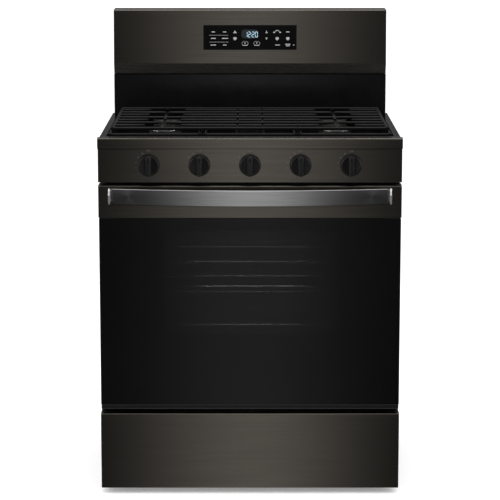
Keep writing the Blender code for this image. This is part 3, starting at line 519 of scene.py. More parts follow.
def handle():
    """The bowed bar: a rounded blade section carried along a shallow arc, with fine end brackets."""
    half = HANDLE_HIGH.x - 4 * MM
    centre_z = (HANDLE_LOW.z + HANDLE_HIGH.z) / 2
    height = HANDLE_HIGH.z - HANDLE_LOW.z
    thick = 12 * MM
    bow = 33.5 * MM
    radius = ((half + 10 * MM) ** 2 + bow ** 2) / (2 * bow)
    steps = 72
    rings = []
    for i in range(steps + 1):
        x = -half + 2 * half * i / steps
        lean = math.asin(x / radius)
        y = HANDLE_LOW.y + radius * (1 - math.cos(lean))
        normal = Vector((-math.sin(lean), math.cos(lean), 0))
        ring = []
        for u, v in rounded_ring(thick, height, 2.0 * MM, 4):
            sag = 0.5 * MM * (2 * v / height) ** 2
            depth = thick / 2 + u + (sag if u < 0 else 0.0)
            place = Vector((x, y, centre_z + v)) + normal * depth
            ring.append((max(-half, min(half, place.x)), place.y, place.z))
        rings.append(ring)
    shape = bmesh.new()
    loft(shape, rings)
    make_piece("handle_bar", shape, HANDLE_STEEL, DOOR, ["door_handle"])
    for side, sign in SIDES:
        bracket(side, sign)


def bracket(side, sign):
    """A foot behind the bar and a polished cap over its end, bowed from top to bottom."""
    low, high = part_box("handle_bracket_" + side)
    outer, inner = (high.x, low.x) if sign > 0 else (low.x, high.x)
    width, bow = 4.6 * MM, 4.2 * MM
    middle = (low.z + high.z) / 2
    shape = bmesh.new()
    rings = []
    steps = 16
    for step in range(steps + 1):
        t = -1 + 2 * step / steps
        front = low.y + bow * t * t
        x, y, z = outer - sign * width / 2, (front + high.y) / 2, middle + t * (high.z - low.z) / 2
        taper = 1.0 if abs(t) < 0.95 else 0.8
        rings.append([(x + u, y + v, z)
                      for u, v in rounded_ring(width * taper, high.y - front, 2.2 * MM, 5)])
    loft(shape, rings)
    foot = sorted((inner, outer - sign * width * 0.5))
    add_box(shape, (foot[0], low.y + 13 * MM, low.z + 4 * MM), (foot[1], high.y, high.z - 4 * MM),
            1.5 * MM, 3)
    make_piece("handle_end_" + side, shape, CHROME, DOOR, ["handle_bracket_" + side])


# ---------------- knobs

KNOB_RADIUS = 27 * MM
SKIRT_DEPTH = 13.7 * MM
BLADE_LENGTH = 50 * MM
TICK_RADIUS = 33 * MM
MAP_HEIGHT = 36 * MM
MAP_SPOTS = ((-1, 1), (1, 1), (0, 0), (-1, -1), (1, -1))


def knobs():
    for index in range(1, 6):
        low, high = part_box(f"knob_{index}")
        x, z = (low.x + high.x) / 2, (low.z + high.z) / 2
        knob(index, x, high.y, z, high.y - low.y)


def knob(index, x, back_y, z, depth):
    """A flanged skirt, a tapered blade across its face and a pale pointer at the blade's top."""
    place = along_y(x, back_y, z)
    shape = bmesh.new()
    turn(shape, [(0, SKIRT_DEPTH - 1.6 * MM), (18.5 * MM, SKIRT_DEPTH - 1.6 * MM),
                 (20.5 * MM, SKIRT_DEPTH - 0.7 * MM), (23 * MM, SKIRT_DEPTH),
                 (24.6 * MM, SKIRT_DEPTH - 0.4 * MM), (25.6 * MM, SKIRT_DEPTH - 1.6 * MM),
                 (26.4 * MM, 4 * MM), (KNOB_RADIUS, 1.6 * MM), (KNOB_RADIUS, 0.4 * MM),
                 (KNOB_RADIUS - 0.6 * MM, 0), (0, 0)], 64, place)
    rings = []
    for height, width, shorter in ((6 * MM, 15.0, 0.0), (SKIRT_DEPTH, 15.0, 0.0),
                                   (depth - 3.0 * MM, 13.4, 1.2), (depth - 0.8 * MM, 12.4, 2.6),
                                   (depth, 10.4, 5.0)):
        rings.append([place @ Vector((u, v, height))
                      for u, v in rounded_ring(width * MM, BLADE_LENGTH - shorter * MM, 4.2 * MM, 5)])
    loft(shape, rings)
    make_piece(f"knob_fine_{index}", shape, FINISHES["knob_plastic"], f"dial_{index}", [f"knob_{index}"],
               sharp=50)
    front_y = back_y - depth
    box_piece(f"knob_pointer_{index}", (x - 1.1 * MM, front_y, z + 10 * MM),
              (x + 1.1 * MM, front_y + 0.9 * MM, z + 21.5 * MM), 0.3 * MM, WHITE_PRINT, f"dial_{index}")


def face_mark(shape, x, z, size):
    """A square of print on the control panel's face."""
    add_box(shape, (x - size / 2, FACE_Y - 0.12 * MM, z - size / 2),
            (x + size / 2, FACE_Y + 0.2 * MM, z + size / 2))


def panel_marks():
    """Printed marks round each knob: a row of power ticks and a small map of the burners."""
    for index in range(1, 6):
        low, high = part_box(f"knob_{index}")
        x, z = (low.x + high.x) / 2, (low.z + high.z) / 2
        shape = bmesh.new()
        for tick in range(7):
            angle = math.radians(118 + 25 * tick)
            face_mark(shape, x + TICK_RADIUS * math.cos(angle), z + TICK_RADIUS * math.sin(angle),
                      (1.9 - 0.2 * tick) * MM)
        make_piece(f"power_ticks_{index}", shape, TICK_PRINT, BODY)
        shape = bmesh.new()
        for spot, (across, up) in enumerate(MAP_SPOTS, 1):
            face_mark(shape, x + across * 3.0 * MM, z + MAP_HEIGHT + up * 1.9 * MM,
                      (1.7 if spot == index else 1.0) * MM)
        make_piece(f"burner_map_{index}", shape, TICK_PRINT, BODY)


# ---------------- folded sheet pieces

CONSOLE_LEAN = 10 * MM
CONSOLE_RISE = 145 * MM


def bend(centre, radius, start, end, steps=24):
    """Points of a bend in (y, z) about centre, in degrees."""
    angles = (math.radians(start + (end - start) * i / steps) for i in range(steps + 1))
    return [(centre[0] + radius * math.cos(a), centre[1] + radius * math.sin(a)) for a in angles]


def folded_sheet(name, outline, half, material, replaced, body=BODY):
    """A sheet section in (y, z) run from -half to half along X, with its cut ends softened."""
    shape = bmesh.new()
    loft(shape, [[(x, y, z) for y, z in outline] for x in (-half, half)])
    return make_piece(name, shape, material, body, replaced, sharp=8, edge=0.4 * MM)


def console():
    """The fascia: leaning face, wide soft bend into the top, crisp crease and a chamfer turned under."""
    low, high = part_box("backguard_console")
    crease_y, crease_z = low.y, low.z + 29 * MM
    top_y, radius, skin = low.y + CONSOLE_LEAN, 4 * MM, 1.4 * MM
    outline = [(low.y + 12 * MM, low.z), (crease_y, crease_z)]
    outline += bend((top_y + radius, high.z - radius), radius, 176, 90)
    outline += [(high.y, high.z), (high.y, high.z - skin), (top_y + radius, high.z - skin),
                (top_y + skin + 0.2 * MM, high.z - radius), (crease_y + skin, crease_z),
                (low.y + 13.6 * MM, low.z)]
    item = folded_sheet("console_fascia", outline, high.x, BRONZE, ["backguard_console"])
    item.data.materials.append(CHAMFER_STEEL)
    for face in item.data.polygons:
        if face.center.z < crease_z - 2 * MM:
            face.material_index = 1


def panel_crease_shadow():
    """A dark strip painted as the shadow line under the control panel's raised band."""
    bottom = DECK_BOTTOM + 9.5 * MM
    box_piece("panel_crease_shadow", (PANEL_LOW.x + 1.2 * MM, FACE_Y - 0.5 * MM, bottom - 2.6 * MM),
              (PANEL_HIGH.x - 1.2 * MM, FACE_Y + 0.3 * MM, bottom), 0.3 * MM, CREASE_SHADE, BODY)


def drawer_roll():
    """The rolled hem along the drawer front's top edge, which catches the light."""
    low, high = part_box("drawer_front")
    radius = 2.6 * MM
    outline = bend((low.y + radius - 0.3 * MM, high.z - radius), radius, 200, 60, 14)
    outline += [(low.y + 3.4 * MM, high.z - 3.0 * MM)]
    folded_sheet("drawer_hem", outline, high.x - 0.6 * MM, BRONZE, [], DRAWER)


def door_groove():
    """The dark drip groove along the bottom of the door."""
    low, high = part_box("door_glass")
    door_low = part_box("door_frame")[0]
    box_piece("door_groove", (low.x + 3 * MM, FACE_Y - 0.1 * MM, door_low.z + 2.6 * MM),
              (high.x - 3 * MM, FACE_Y + 1.2 * MM, low.z - 2.0 * MM), 0.1 * MM, CAP_ENAMEL, DOOR)


def side_flanges():
    """The folded front edge of each side panel, which closes the view past the door's edges."""
    frame_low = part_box("front_frame")[0]
    side_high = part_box("side_panel_right")[1]
    for side, sign in SIDES:
        x_low, x_high = sorted((sign * (side_high.x + 0.2 * MM), sign * (side_high.x + 3.0 * MM)))
        box_piece("side_flange_" + side, (x_low, frame_low.y + 2 * MM, frame_low.z + 4 * MM),
                  (x_high, frame_low.y + 13 * MM, PANEL_HIGH.z - 8 * MM), 0.5 * MM, FINISHES["black_paint"],
                  BODY)


# ---------------- touch panel

KEYPAD_LOW, KEYPAD_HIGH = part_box("touch_panel")
KEYPAD_LEAN = math.atan2(CONSOLE_LEAN, CONSOLE_RISE)
KEYPAD_OUT = Vector((0, -math.cos(KEYPAD_LEAN), math.sin(KEYPAD_LEAN)))
KEYPAD_UP = Vector((0, math.sin(KEYPAD_LEAN), math.cos(KEYPAD_LEAN)))
KEYPAD_ACROSS = Vector((1, 0, 0))
KEYPAD_FACE = (KEYPAD_LOW + KEYPAD_HIGH) / 2 + KEYPAD_OUT * 1.25 * MM

# Places on the keypad are millimetres across and up from the middle of its glass, then a mark's size.
WORD_BARS = ((-100, 15, 9), (-69, 15, 9), (-100, -2.5, 13), (-68, -2.5, 17), (-100, -20.5, 15),
             (-69, -20.5, 10), (75, -20.5, 13), (103, -18.5, 14), (103, -22.5, 10), (103, 15, 9))
RULES = ((-85, 6.0, 52, 0.6), (-85, -12.5, 52, 0.6))
PAN_ICONS = ((-41, -2.5), (74, -2.5), (103, -2.5))
UP_ARROWS = ((-41, 15, 1.0), (45, 15, 0.62))
ARCH_ICON = ((66, 14.0, 5, 3.4), (82, 14.0, 5, 3.4), (70, 17.6, 4, 1.6), (78, 17.6, 4, 1.6),
             (74, 19.2, 7, 1.6))
LOCK_DOT = (119, -20.5, 3, 2.6)
START_KEYS = (-13.5, 18.5)
DISPLAY = (-0.5, 9.5, 46, 24)
CLOCK_HEIGHT = 8.0
# Each digit's lit segments and its place across.
CLOCK_DIGITS = (("bc", -10.5), ("abged", -2.0), ("abged", 8.5), ("abcdef", 17.5))
COLON_ACROSS = 3.4
SEGMENTS = {
    "a": (0, 7, 5.4, 1.5), "b": (2.9, 3.6, 1.5, 5.8), "c": (2.9, -3.6, 1.5, 5.8), "d": (0, -7, 5.4, 1.5),
    "e": (-2.9, -3.6, 1.5, 5.8), "f": (-2.9, 3.6, 1.5, 5.8), "g": (0, 0, 5.4, 1.5),
}


def key_print(shape, u, v, width, height, lift=0.18):
    """A thin rounded print in the plane of the leaning glass, with its face lifted off it."""
    origin = KEYPAD_FACE + KEYPAD_ACROSS * u * MM + KEYPAD_UP * v * MM
    rings = []
    for offset in (-0.2, lift):
        rings.append([origin + KEYPAD_OUT * offset * MM + KEYPAD_ACROSS * a + KEYPAD_UP * b
                      for a, b in rounded_ring(width * MM, height * MM, min(width, height) * 0.3 * MM, 2)])
    loft(shape, rings)


def key_ring(shape, u, v, size, dots=20):
    """A start key's oval outline, as a ring of dots."""
    for i in range(dots):
        angle = 2 * math.pi * i / dots
        key_print(shape, u + size * 1.15 * math.cos(angle), v + 0.8 * size * math.sin(angle), 1.5, 1.1)


def touch_panel():
    """Generic marks for keys, arrows, a clock and two oval start keys."""
    shape = bmesh.new()
    for u, v, width in WORD_BARS:
        key_print(shape, u, v, width, 2.4)
    for u, v in PAN_ICONS:
        key_print(shape, u, v, 9, 6.5)
        key_print(shape, u, v - 4.4, 4, 1.4)
    for u, v, share in UP_ARROWS:
        for row, width in enumerate((9, 6.6, 4.2, 1.8)):
            key_print(shape, u, v - 2.4 + 1.7 * row, width * share, 1.6)
    for row, width in enumerate((5.4, 4.0, 2.6, 1.2)):
        key_print(shape, 45, -1.0 - 1.5 * row, width, 1.4)
    for u, v, width, height in (*RULES, *ARCH_ICON, LOCK_DOT):
        key_print(shape, u, v, width, height)
    for u in START_KEYS:
        key_ring(shape, u, -16.0, 7.2)
        key_print(shape, u, -21.3, 13, 2.2)
        key_print(shape, u, -15.0, 3.2, 3.4)
    make_piece("touch_icons", shape, ICON_PRINT, BODY)

    shape = bmesh.new()
    key_print(shape, *DISPLAY, 0.06)
    make_piece("display_window", shape, DISPLAY_TINT, BODY)

    shape = bmesh.new()
    for lit, u in CLOCK_DIGITS:
        for segment in lit:
            du, dv, width, height = SEGMENTS[segment]
            key_print(shape, u + du, CLOCK_HEIGHT + dv, width, height, 0.24)
    for dv in (-3.0, 3.0):
        key_print(shape, COLON_ACROSS, CLOCK_HEIGHT + dv, 1.5, 1.5, 0.24)
    make_piece("clock_digits", shape, CLOCK_GLOW, BODY)


# ---------------- burners

BURNERS = ("front_left", "front_right", "rear_left", "rear_right")


def burners():
    for name in BURNERS:
        low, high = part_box("burner_base_" + name)
        place = Matrix.Translation(((low.x + high.x) / 2, (low.y + high.y) / 2, 0))
        burner_base(name, place, low.z, high.z)
        burner_cap(name, place)
        igniter(name, place @ Matrix.Translation((12 * MM, 45 * MM, 0)))
    centre_burner()


def port_ring(place, radius, bottom, top, teeth=32):
    """The crown of gas ports: a ring whose wall steps in at each slot."""
    rings = []
    for height in (bottom, top):
        ring = []
        for i in range(teeth * 4):
            reach = radius - (1.6 * MM if i % 4 in (2, 3) else 0.0)
            angle = 2 * math.pi * i / (teeth * 4)
            ring.append(place @ Vector((reach * math.cos(angle), reach * math.sin(angle), height)))
        rings.append(ring)
    return rings


def burner_base(name, place, bottom, top):
    """A black foot on the deck, its throat through it, and the cast head with its ports."""
    seat = BURNER_SEAT
    turned_piece("burner_foot_" + name, [
        (0, seat + 9.0 * MM), (34 * MM, seat + 9.0 * MM), (35 * MM, seat + 8.4 * MM),
        (35 * MM, seat + 4.4 * MM), (40 * MM, seat + 3.4 * MM), (44 * MM, seat + 2.0 * MM),
        (45 * MM, seat + 0.4 * MM), (18.5 * MM, seat), (18.5 * MM, bottom), (0, bottom),
    ], 64, place, CAP_ENAMEL)
    shape = bmesh.new()
    loft(shape, port_ring(place, 36 * MM, seat + 7.5 * MM, top))
    make_piece("burner_head_" + name, shape, FINISHES["burner_alloy"], BODY, ["burner_base_" + name])


def burner_cap(name, place):
    """A black lid over the machined rim of the head. The rims are painted light: bright plating on the front
    burners, as if lit, and the duller alloy on the rear ones, as if in shade.
    """
    low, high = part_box("burner_cap_" + name)
    bottom, top = low.z, high.z
    seam = bottom + 4.6 * MM
    turned_piece("burner_lid_" + name, [
        (0, top), (20 * MM, top - 0.1 * MM), (31 * MM, top - 0.5 * MM), (35.5 * MM, top - 1.2 * MM),
        (37.4 * MM, top - 2.0 * MM), (37.4 * MM, seam), (0, seam),
    ], 64, place, CAP_ENAMEL, ["burner_cap_" + name])
    # Painted light: the front rims are plated bright as if lit, and the rear rims are dull alloy as if in
    # shade.
    rim = RACK_STEEL if name.startswith("front") else FINISHES["burner_alloy"]
    turned_piece("burner_rim_" + name, [
        (0, seam), (36.8 * MM, seam), (38 * MM, seam - 0.8 * MM), (38 * MM, bottom + 0.8 * MM),
        (37 * MM, bottom), (0, bottom),
    ], 64, place, rim)


def igniter(name, place):
    seat = BURNER_SEAT
    turned_piece("igniter_" + name, [
        (0, seat + 17 * MM), (1.6 * MM, seat + 16.6 * MM), (2.4 * MM, seat + 15 * MM), (2.8 * MM, seat),
        (0, seat),
    ], 20, place, CERAMIC)


def oval_ring(half_width, half_length, y_mid, height, steps=16):
    straight = half_length - half_width
    points = []
    for end in (1, -1):
        for i in range(steps + 1):
            angle = math.pi * i / steps + (0 if end > 0 else math.pi)
            y = y_mid + end * straight + half_width * math.sin(angle)
            points.append(Vector((half_width * math.cos(angle), y, height)))
    return points


def oval_layer(name, y, levels, replaced=()):
    """One layer of the long burner, skinned through (half width in millimetres, height) levels."""
    shape = bmesh.new()
    loft(shape, [oval_ring(width * MM, width * MM + 60 * MM, y, height) for width, height in levels])
    make_piece(name, shape, CAP_ENAMEL, BODY, replaced)


def centre_burner():
    low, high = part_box("burner_base_centre")
    cap_low, cap_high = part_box("burner_cap_centre")
    y = (low.y + high.y) / 2
    seat = BURNER_SEAT
    oval_layer("burner_foot_centre", y, ((38, seat), (37.6, seat + 1.6 * MM), (34, seat + 4.4 * MM),
                                         (31, seat + 5.4 * MM), (31, seat + 7.6 * MM)))
    oval_layer("burner_head_centre", y, ((31.5, seat + 7.5 * MM), (32.5, seat + 8.0 * MM), (32.5, high.z)),
               ["burner_base_centre"])
    oval_layer("burner_lid_centre", y, ((31.5, cap_low.z), (32, cap_low.z + 1.2 * MM),
                                        (31.6, cap_high.z - 2.6 * MM), (30, cap_high.z - 1.0 * MM),
                                        (26, cap_high.z - 0.2 * MM), (20, cap_high.z)), ["burner_cap_centre"])


# ---------------- grates

GRATE_FIRST_Y = -0.248
GRATE_PITCH = 0.0588
GRATE_REAR_Y = 0.205
GRATE_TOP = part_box("grate_left")[1].z
GRATE_OUTER_X = 0.347
BURNER_X = 0.220
FRONT_BURNER_Y = -0.131
REAR_BURNER_Y = 0.1045
BAR_WIDTH = 8 * MM
BAR_DEPTH = 8 * MM
RAIL_TOP = 0.922
RAIL_DEPTH = 11 * MM
JOINT_REACH = 1.1 * MM
ROWS = [GRATE_FIRST_Y + GRATE_PITCH * row for row in range(8)] + [GRATE_REAR_Y]


def bar_ring(centre, along, width, top, bottom):
    """The cross-section of a cast bar at one place: flat on top with rounded shoulders, narrower below."""
    across = Vector((-along.y, along.x, 0))
    depth = top - bottom
    profile = [(-0.34, bottom), (0.34, bottom), (0.47, bottom + 0.25 * depth), (0.5, top - 3.6 * MM),
               (0.42, top - 1.6 * MM), (0.27, top - 0.5 * MM), (0, top), (-0.27, top - 0.5 * MM),
               (-0.42, top - 1.6 * MM), (-0.5, top - 3.6 * MM), (-0.47, bottom + 0.25 * depth)]
    return [Vector((centre.x, centre.y, 0)) + across * u * width + Vector((0, 0, z)) for u, z in profile]


def cast_bar(shape, start, end, stations):
    """A bar from start to end; stations are (share of its length, width, top, bottom) in order."""
    start, end = Vector(start), Vector(end)
    along = (end - start).normalized()
    loft(shape, [bar_ring(start.lerp(end, share), along, width, top, bottom)
                 for share, width, top, bottom in stations])


def plain_bar(shape, start, end, width=BAR_WIDTH, top=GRATE_TOP, depth=BAR_DEPTH):
    cast_bar(shape, start, end, [(0, width, top, top - depth), (1, width, top, top - depth)])


def finger(shape, root, tip, tip_width=3.0 * MM, bulge=BAR_WIDTH):
    """A bar that tapers to a free tip, after widening to bulge."""
    top, bottom = GRATE_TOP, GRATE_TOP - BAR_DEPTH
    cast_bar(shape, root, tip, [(0, BAR_WIDTH, top, bottom), (0.45, BAR_WIDTH, top, bottom),
                                (0.72, bulge, top, bottom),
                                (0.90, max(0.62 * bulge, 5 * MM), top, bottom + 1.5 * MM),
                                (1.0, tip_width, top - 0.6 * MM, bottom + 3 * MM)])


def notched_bar(shape, start, end):
    """A bar with two narrow notches in its top, over the edges of the long burner's flame."""
    length = end[0] - start[0]
    low = GRATE_TOP - BAR_DEPTH
    stations = [(0, BAR_WIDTH, GRATE_TOP, low)]
    for x in (-32 * MM, 32 * MM):
        for offset, drop in ((-2.2, 0), (-1.4, 3.6), (1.4, 3.6), (2.2, 0)):
            share = (x + offset * MM - start[0]) / length
            stations.append((share, BAR_WIDTH - 0.6 * drop * MM, GRATE_TOP - drop * MM, low))
    cast_bar(shape, start, end, stations + [(1, BAR_WIDTH, GRATE_TOP, low)])


def square_leg(shape, x, y, corner, levels):
    """An upright with rounded corners, through (height, width in millimetres) levels."""
    loft(shape, [[Vector((x + u, y + v, z)) for u, v in rounded_ring(wide * MM, wide * MM, corner, 2)]
                 for z, wide in levels])


def lower_frame(shape, x_low, x_high):
    """The frame under the bars that joins the posts, and a foot under each corner down to the deck."""
    width, half = 9 * MM, 4.5 * MM
    y_low, y_high = ROWS[0] - 14 * MM, ROWS[-1] + 7 * MM
    for y in (y_low + half, y_high - half):
        plain_bar(shape, (x_low, y, 0), (x_high, y, 0), width, RAIL_TOP, RAIL_DEPTH)
    for x in (x_low + half, x_high - half):
        plain_bar(shape, (x, y_low, 0), (x, y_high, 0), width, RAIL_TOP - 0.1 * MM, RAIL_DEPTH - 0.1 * MM)
    for x in (x_low + 6 * MM, x_high - 6 * MM):
        for y in (y_low + 6 * MM, y_high - 6 * MM):
            square_leg(shape, x, y, 2 * MM,
                       ((DECK_FLOOR, 6.0), (DECK_FLOOR + 1 * MM, 7.5), (RAIL_TOP - 8 * MM, 9.0)))


def grate(side, spots, low_end, high_end, low_rail, high_rail):
    """One casting: bars across on posts, a lower frame, feet, and fingers that reach over the burners.

    A spot is a burner's x, half its opening's width in each cut row, its fingers' bulge and its spurs' ends."""
    half = BAR_WIDTH / 2
    shape = bmesh.new()
    for x, outside in ((low_end + half, side == "left"), (high_end - half, side == "right")):
        if outside:
            plain_bar(shape, (x, ROWS[0] - half, 0), (x, ROWS[-1] + half, 0))
        for y in ROWS:
            square_leg(shape, x, y, 1.2 * MM, ((RAIL_TOP - 1 * MM, 4.5), (RAIL_TOP + 2 * MM, 5.0),
                                               (GRATE_TOP - BAR_DEPTH + 1 * MM, 7.6)))
    openings = {row: (spot, reach) for spot in spots for row, reach in spot["rows"].items()}
    for row, y in enumerate(ROWS):
        if side == "centre" and row % 2:
            notched_bar(shape, (low_end, y, 0), (high_end, y, 0))
        elif row not in openings:
            plain_bar(shape, (low_end, y, 0), (high_end, y, 0))
        else:
            spot, reach = openings[row]
            bulge = spot["bulge"] if reach < 10 * MM else BAR_WIDTH
            finger(shape, (low_end, y, 0), (spot["x"] - reach, y, 0), bulge=bulge)
            finger(shape, (high_end, y, 0), (spot["x"] + reach, y, 0), bulge=bulge)
    for spot in spots:
        for root_y, tip_y in spot["spurs"]:
            finger(shape, (spot["x"], root_y, 0), (spot["x"], tip_y, 0), 5 * MM)
    lower_frame(shape, low_rail, high_rail)
    make_piece("grate_fine_" + side, shape, FINISHES["cast_iron"], side + "_grate", ["grate_" + side],
               sharp=60)


def grates():
    middle = ROWS[4]
    for side, sign in SIDES:
        low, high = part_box("grate_" + side)
        x = sign * BURNER_X
        spots = [
            {"x": x, "rows": {1: 45 * MM, 2: 4 * MM, 3: 42 * MM}, "bulge": 9 * MM,
             "spurs": [(GRATE_FIRST_Y, FRONT_BURNER_Y - 68 * MM), (middle, FRONT_BURNER_Y + 70 * MM)]},
            {"x": x, "rows": {5: 44 * MM, 6: 4 * MM, 7: 46 * MM}, "bulge": 19 * MM,
             "spurs": [(middle, REAR_BURNER_Y - 70 * MM), (GRATE_REAR_Y, REAR_BURNER_Y + 66 * MM)]},
        ]
        joint = (low.x if sign > 0 else high.x) - sign * JOINT_REACH
        low_end, high_end = sorted((joint, sign * GRATE_OUTER_X))
        grate(side, spots, low_end, high_end, low.x, high.x)
    low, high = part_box("grate_centre")
    grate("centre", [], low.x - JOINT_REACH, high.x + JOINT_REACH, low.x, high.x)


# ---------------- oven inside

def rack(name):
    """A closed border wire, rods from front to back that turn up at the rear, a stay and a rear rail."""
    low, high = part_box("oven_rack_" + name)
    wire, rod, corner = 2.4 * MM, 1.6 * MM, 10 * MM
    top = low.z + 5 * MM
    shape = bmesh.new()
    path = []
    for x, y, start in ((high.x - corner, high.y - corner, 0), (low.x + corner, high.y - corner, 90),
                        (low.x + corner, low.y + corner, 180), (high.x - corner, low.y + corner, 270)):
        for i in range(6):
            angle = math.radians(start + 18 * i)
            reach = corner - wire
            path.append((x + reach * math.cos(angle), y + reach * math.sin(angle), low.z + 2.5 * MM))
    sweep_round(shape, path, wire, 10, closed=True)
    count = 21
    for i in range(count):
        x = low.x + wire * 2 + (high.x - low.x - 4 * wire) * (i + 0.5) / count
        sweep_round(shape, [(x, low.y + wire, top - rod), (x, high.y - 3 * wire, top - rod),
                            (x, high.y - 1.6 * wire, top + 3 * MM),
                            (x, high.y - 1.4 * wire, high.z - 1 * MM)], rod, 8)
    middle = (low.y + high.y) / 2
    sweep_round(shape, [(low.x + wire, middle, low.z + rod), (high.x - wire, middle, low.z + rod)], rod, 8)
    rail_y, rail_z = high.y - 3.4 * MM, high.z - 1.8 * MM
    sweep_round(shape, [(low.x + 22 * MM, rail_y, rail_z), (high.x - 22 * MM, rail_y, rail_z)], rod, 8)
    make_piece("rack_wires_" + name, shape, RACK_STEEL, name + "_rack", ["oven_rack_" + name])


# ---------------- back of the range

def rear_screws(face):
    """Hexagon screw heads with a washer face round the edge of the rear panel."""
    low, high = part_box("rear_panel")
    spots = [(x, face, z) for x in (low.x + 14 * MM, high.x - 14 * MM)
             for z in (low.z + 0.03, low.z + 0.23, low.z + 0.43, low.z + 0.63, high.z - 0.03)]
    spots += [(x, face, z) for x in (-0.2, 0.0, 0.2) for z in (low.z + 0.014, high.z - 0.014)]
    radius, height = 4.2 * MM, 1.5 * MM
    shape = bmesh.new()
    for spot in spots:
        place = Matrix.Translation(spot) @ Matrix.Rotation(-math.pi / 2, 4, "X")
        turn(shape, [(0, 0.6 * MM), (radius * 1.25, 0.6 * MM), (radius * 1.25, 0), (0, 0)], 20, place)
        turn(shape, [(0, height), (radius * 0.78, height), (radius * 0.9, height * 0.85), (radius * 0.9, 0),
                     (0, 0)], 6, place)
    make_piece("rear_screws", shape, RACK_STEEL, BODY, sharp=30)


def rear_louvres(y):
    """Pressed louvres: each a scoop that stands out towards its lower edge."""
    first_z, pitch, half = 0.62, 11 * MM, 32 * MM
    shape = bmesh.new()
    for x in (-0.12, -0.04, 0.04, 0.12):
        for row in range(9):
            z = first_z + pitch * row
            rings = []
            for across, lift in ((-half, 0.2 * MM), (-0.92 * half, 1.7 * MM), (0.92 * half, 1.7 * MM),
                                 (half, 0.2 * MM)):
                outline = ((y, z + 6 * MM), (y + 0.4 * lift, z + 4.4 * MM), (y + lift, z + 1 * MM),
                           (y + lift, z), (y, z))
                rings.append([(x + across, out, up) for out, up in outline])
            loft(shape, rings)
    make_piece("rear_louvres", shape, FINISHES["galvanised"], BODY, sharp=50)


# ---------------- stage

STRIP_HALF_WIDTH = 0.8
STRIP_SPREAD = 0.199
STRIP_DISTANCE = 0.593
STRIP_STRENGTH = 0.42
FLOOR_GLOW = 0.24
LENS = 153.96
CAMERA_PLACE = (0.0, -5.5657, 1.5652)
CAMERA_PITCH = 10.039


def world_light():
    """White to the camera and to matt surfaces; polished ones see a dark studio with a soft ceiling."""
    world = bpy.data.worlds.new("studio")
    bpy.context.scene.world = world
    world.use_nodes = True
    tree = world.node_tree
    background = tree.nodes["Background"]
    axes = split_axes(tree, add_node(tree, "ShaderNodeTexCoord").outputs["Generated"])
    ceiling = remap(tree, axes["Z"], 0.35, 0.95, 0.0, 0.55)
    behind = remap(tree, axes["Y"], 0.25, 0.85, 0.0, 0.10)
    flanks = remap(tree, maths(tree, "ABSOLUTE", axes["X"]), 0.40, 0.80, 0.0, 0.32)
    above = remap(tree, axes["Z"], -0.10, 0.02)
    high = maths(tree, "ADD", maths(tree, "MAXIMUM", ceiling, behind), 0.012)
    glossy = maths(tree, "MAXIMUM", maths(tree, "MULTIPLY", high, above), flanks)
    polished = add_node(tree, "ShaderNodeLightPath").outputs["Is Glossy Ray"]
    strength = maths(tree, "ADD", maths(tree, "MULTIPLY", polished, glossy),
                     maths(tree, "SUBTRACT", 1.0, polished))
    feed(tree, strength, background.inputs["Strength"])
    background.inputs["Color"].default_value = (1, 1, 1, 1)


def square_sheet(name, half, cuts, material):
    shape = bmesh.new()
    bmesh.ops.create_grid(shape, x_segments=cuts, y_segments=cuts, size=half)
    return link_mesh(name, shape, material)


def floor():
    material, tree, shader = start_material("studio_paper")
    feed(tree, blend_colours(tree, noise(tree, 2.0), (0.95, 0.95, 0.95), (0.97, 0.97, 0.97)),
         shader.inputs["Base Color"])
    for key, value in (("Roughness", 0.9), ("Specular IOR Level", 0.0), ("Emission Color", (1, 1, 1, 1)),
                       ("Emission Strength", FLOOR_GLOW)):
        shader.inputs[key].default_value = value
    item = square_sheet("studio_floor", 60, 2, material)
    item.visible_glossy = False


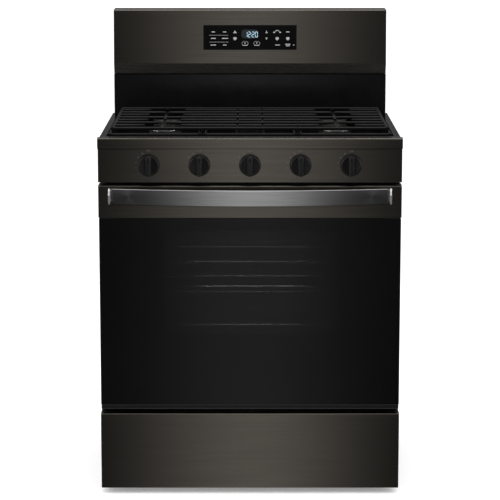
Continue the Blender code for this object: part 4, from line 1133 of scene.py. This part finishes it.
def strip_panel():
    """A tall soft strip close to the front, brightest along its middle, seen only in reflections."""
    material, tree, shader = start_material("strip_glow")
    across = split_axes(tree, add_node(tree, "ShaderNodeTexCoord").outputs["Object"])["X"]
    spread = STRIP_SPREAD / STRIP_HALF_WIDTH
    square = maths(tree, "MULTIPLY", across, across)
    glow = maths(tree, "EXPONENT", maths(tree, "MULTIPLY", square, -0.5 / spread ** 2))
    emission = add_node(tree, "ShaderNodeEmission", Strength=maths(tree, "MULTIPLY", glow, STRIP_STRENGTH))
    clear = add_node(tree, "ShaderNodeBsdfTransparent")
    both = tree.nodes.new("ShaderNodeAddShader")
    feed(tree, emission.outputs[0], both.inputs[0])
    feed(tree, clear.outputs[0], both.inputs[1])
    feed(tree, both.outputs[0], tree.nodes["Material Output"].inputs["Surface"])
    tree.nodes.remove(shader)
    item = square_sheet("strip_light", 1.0, 1, material)
    item.scale = (STRIP_HALF_WIDTH, 3.0, 1.0)
    item.location = (0, FACE_Y - STRIP_DISTANCE, 0.6)
    item.rotation_euler = (math.radians(90), 0, 0)
    item.visible_camera = False
    item.visible_diffuse = False
    item.visible_shadow = False
    item.visible_transmission = False


def area_light(name, place, aim, size, power):
    light = bpy.data.lights.new(name, "AREA")
    light.shape = "RECTANGLE"
    light.size, light.size_y = size
    light.energy = power
    item = bpy.data.objects.new(name, light)
    bpy.context.scene.collection.objects.link(item)
    item.location = place
    item.rotation_euler = (Vector(aim) - Vector(place)).to_track_quat("-Z", "Y").to_euler()
    item.visible_camera = False


def camera():
    data = bpy.data.cameras.new("camera")
    data.sensor_width = 36.0
    data.lens = LENS
    data.clip_end = 200
    item = bpy.data.objects.new("camera", data)
    bpy.context.scene.collection.objects.link(item)
    item.location = CAMERA_PLACE
    item.rotation_euler = (math.radians(90 - CAMERA_PITCH), 0, 0)
    bpy.context.scene.camera = item


def stage():
    world_light()
    floor()
    strip_panel()
    area_light("overhead", (0, -0.6, 3.4), (0, 0, 0.9), (2.6, 1.8), 10)
    area_light("overhead_rear", (0, 1.6, 3.2), (0, 0, 0.9), (2.6, 1.0), 18)
    for side, sign in SIDES:
        area_light("flank_" + side, (sign * 2.6, -1.9, 1.7), (0, -0.3, 0.7), (0.8, 2.4), 30)
    oven_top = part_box("broil_burner")[0].z - 12 * MM
    area_light("oven_lamp", (0, -0.10, oven_top), (0, -0.06, 0.40), (0.30, 0.12), 0.34)
    camera()
    bpy.context.scene.view_settings.view_transform = "Standard"


# ---------------- build

for node_name in sorted(frame["nodes"]):
    refine(node_name)
handle()
knobs()
panel_marks()
console()
panel_crease_shadow()
drawer_roll()
door_groove()
side_flanges()
touch_panel()
burners()
grates()
for rack_name in ("upper", "lower"):
    rack(rack_name)
rear_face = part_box("rear_panel")[0].y + 1.2 * MM
rear_screws(rear_face)
rear_louvres(rear_face)
stage()
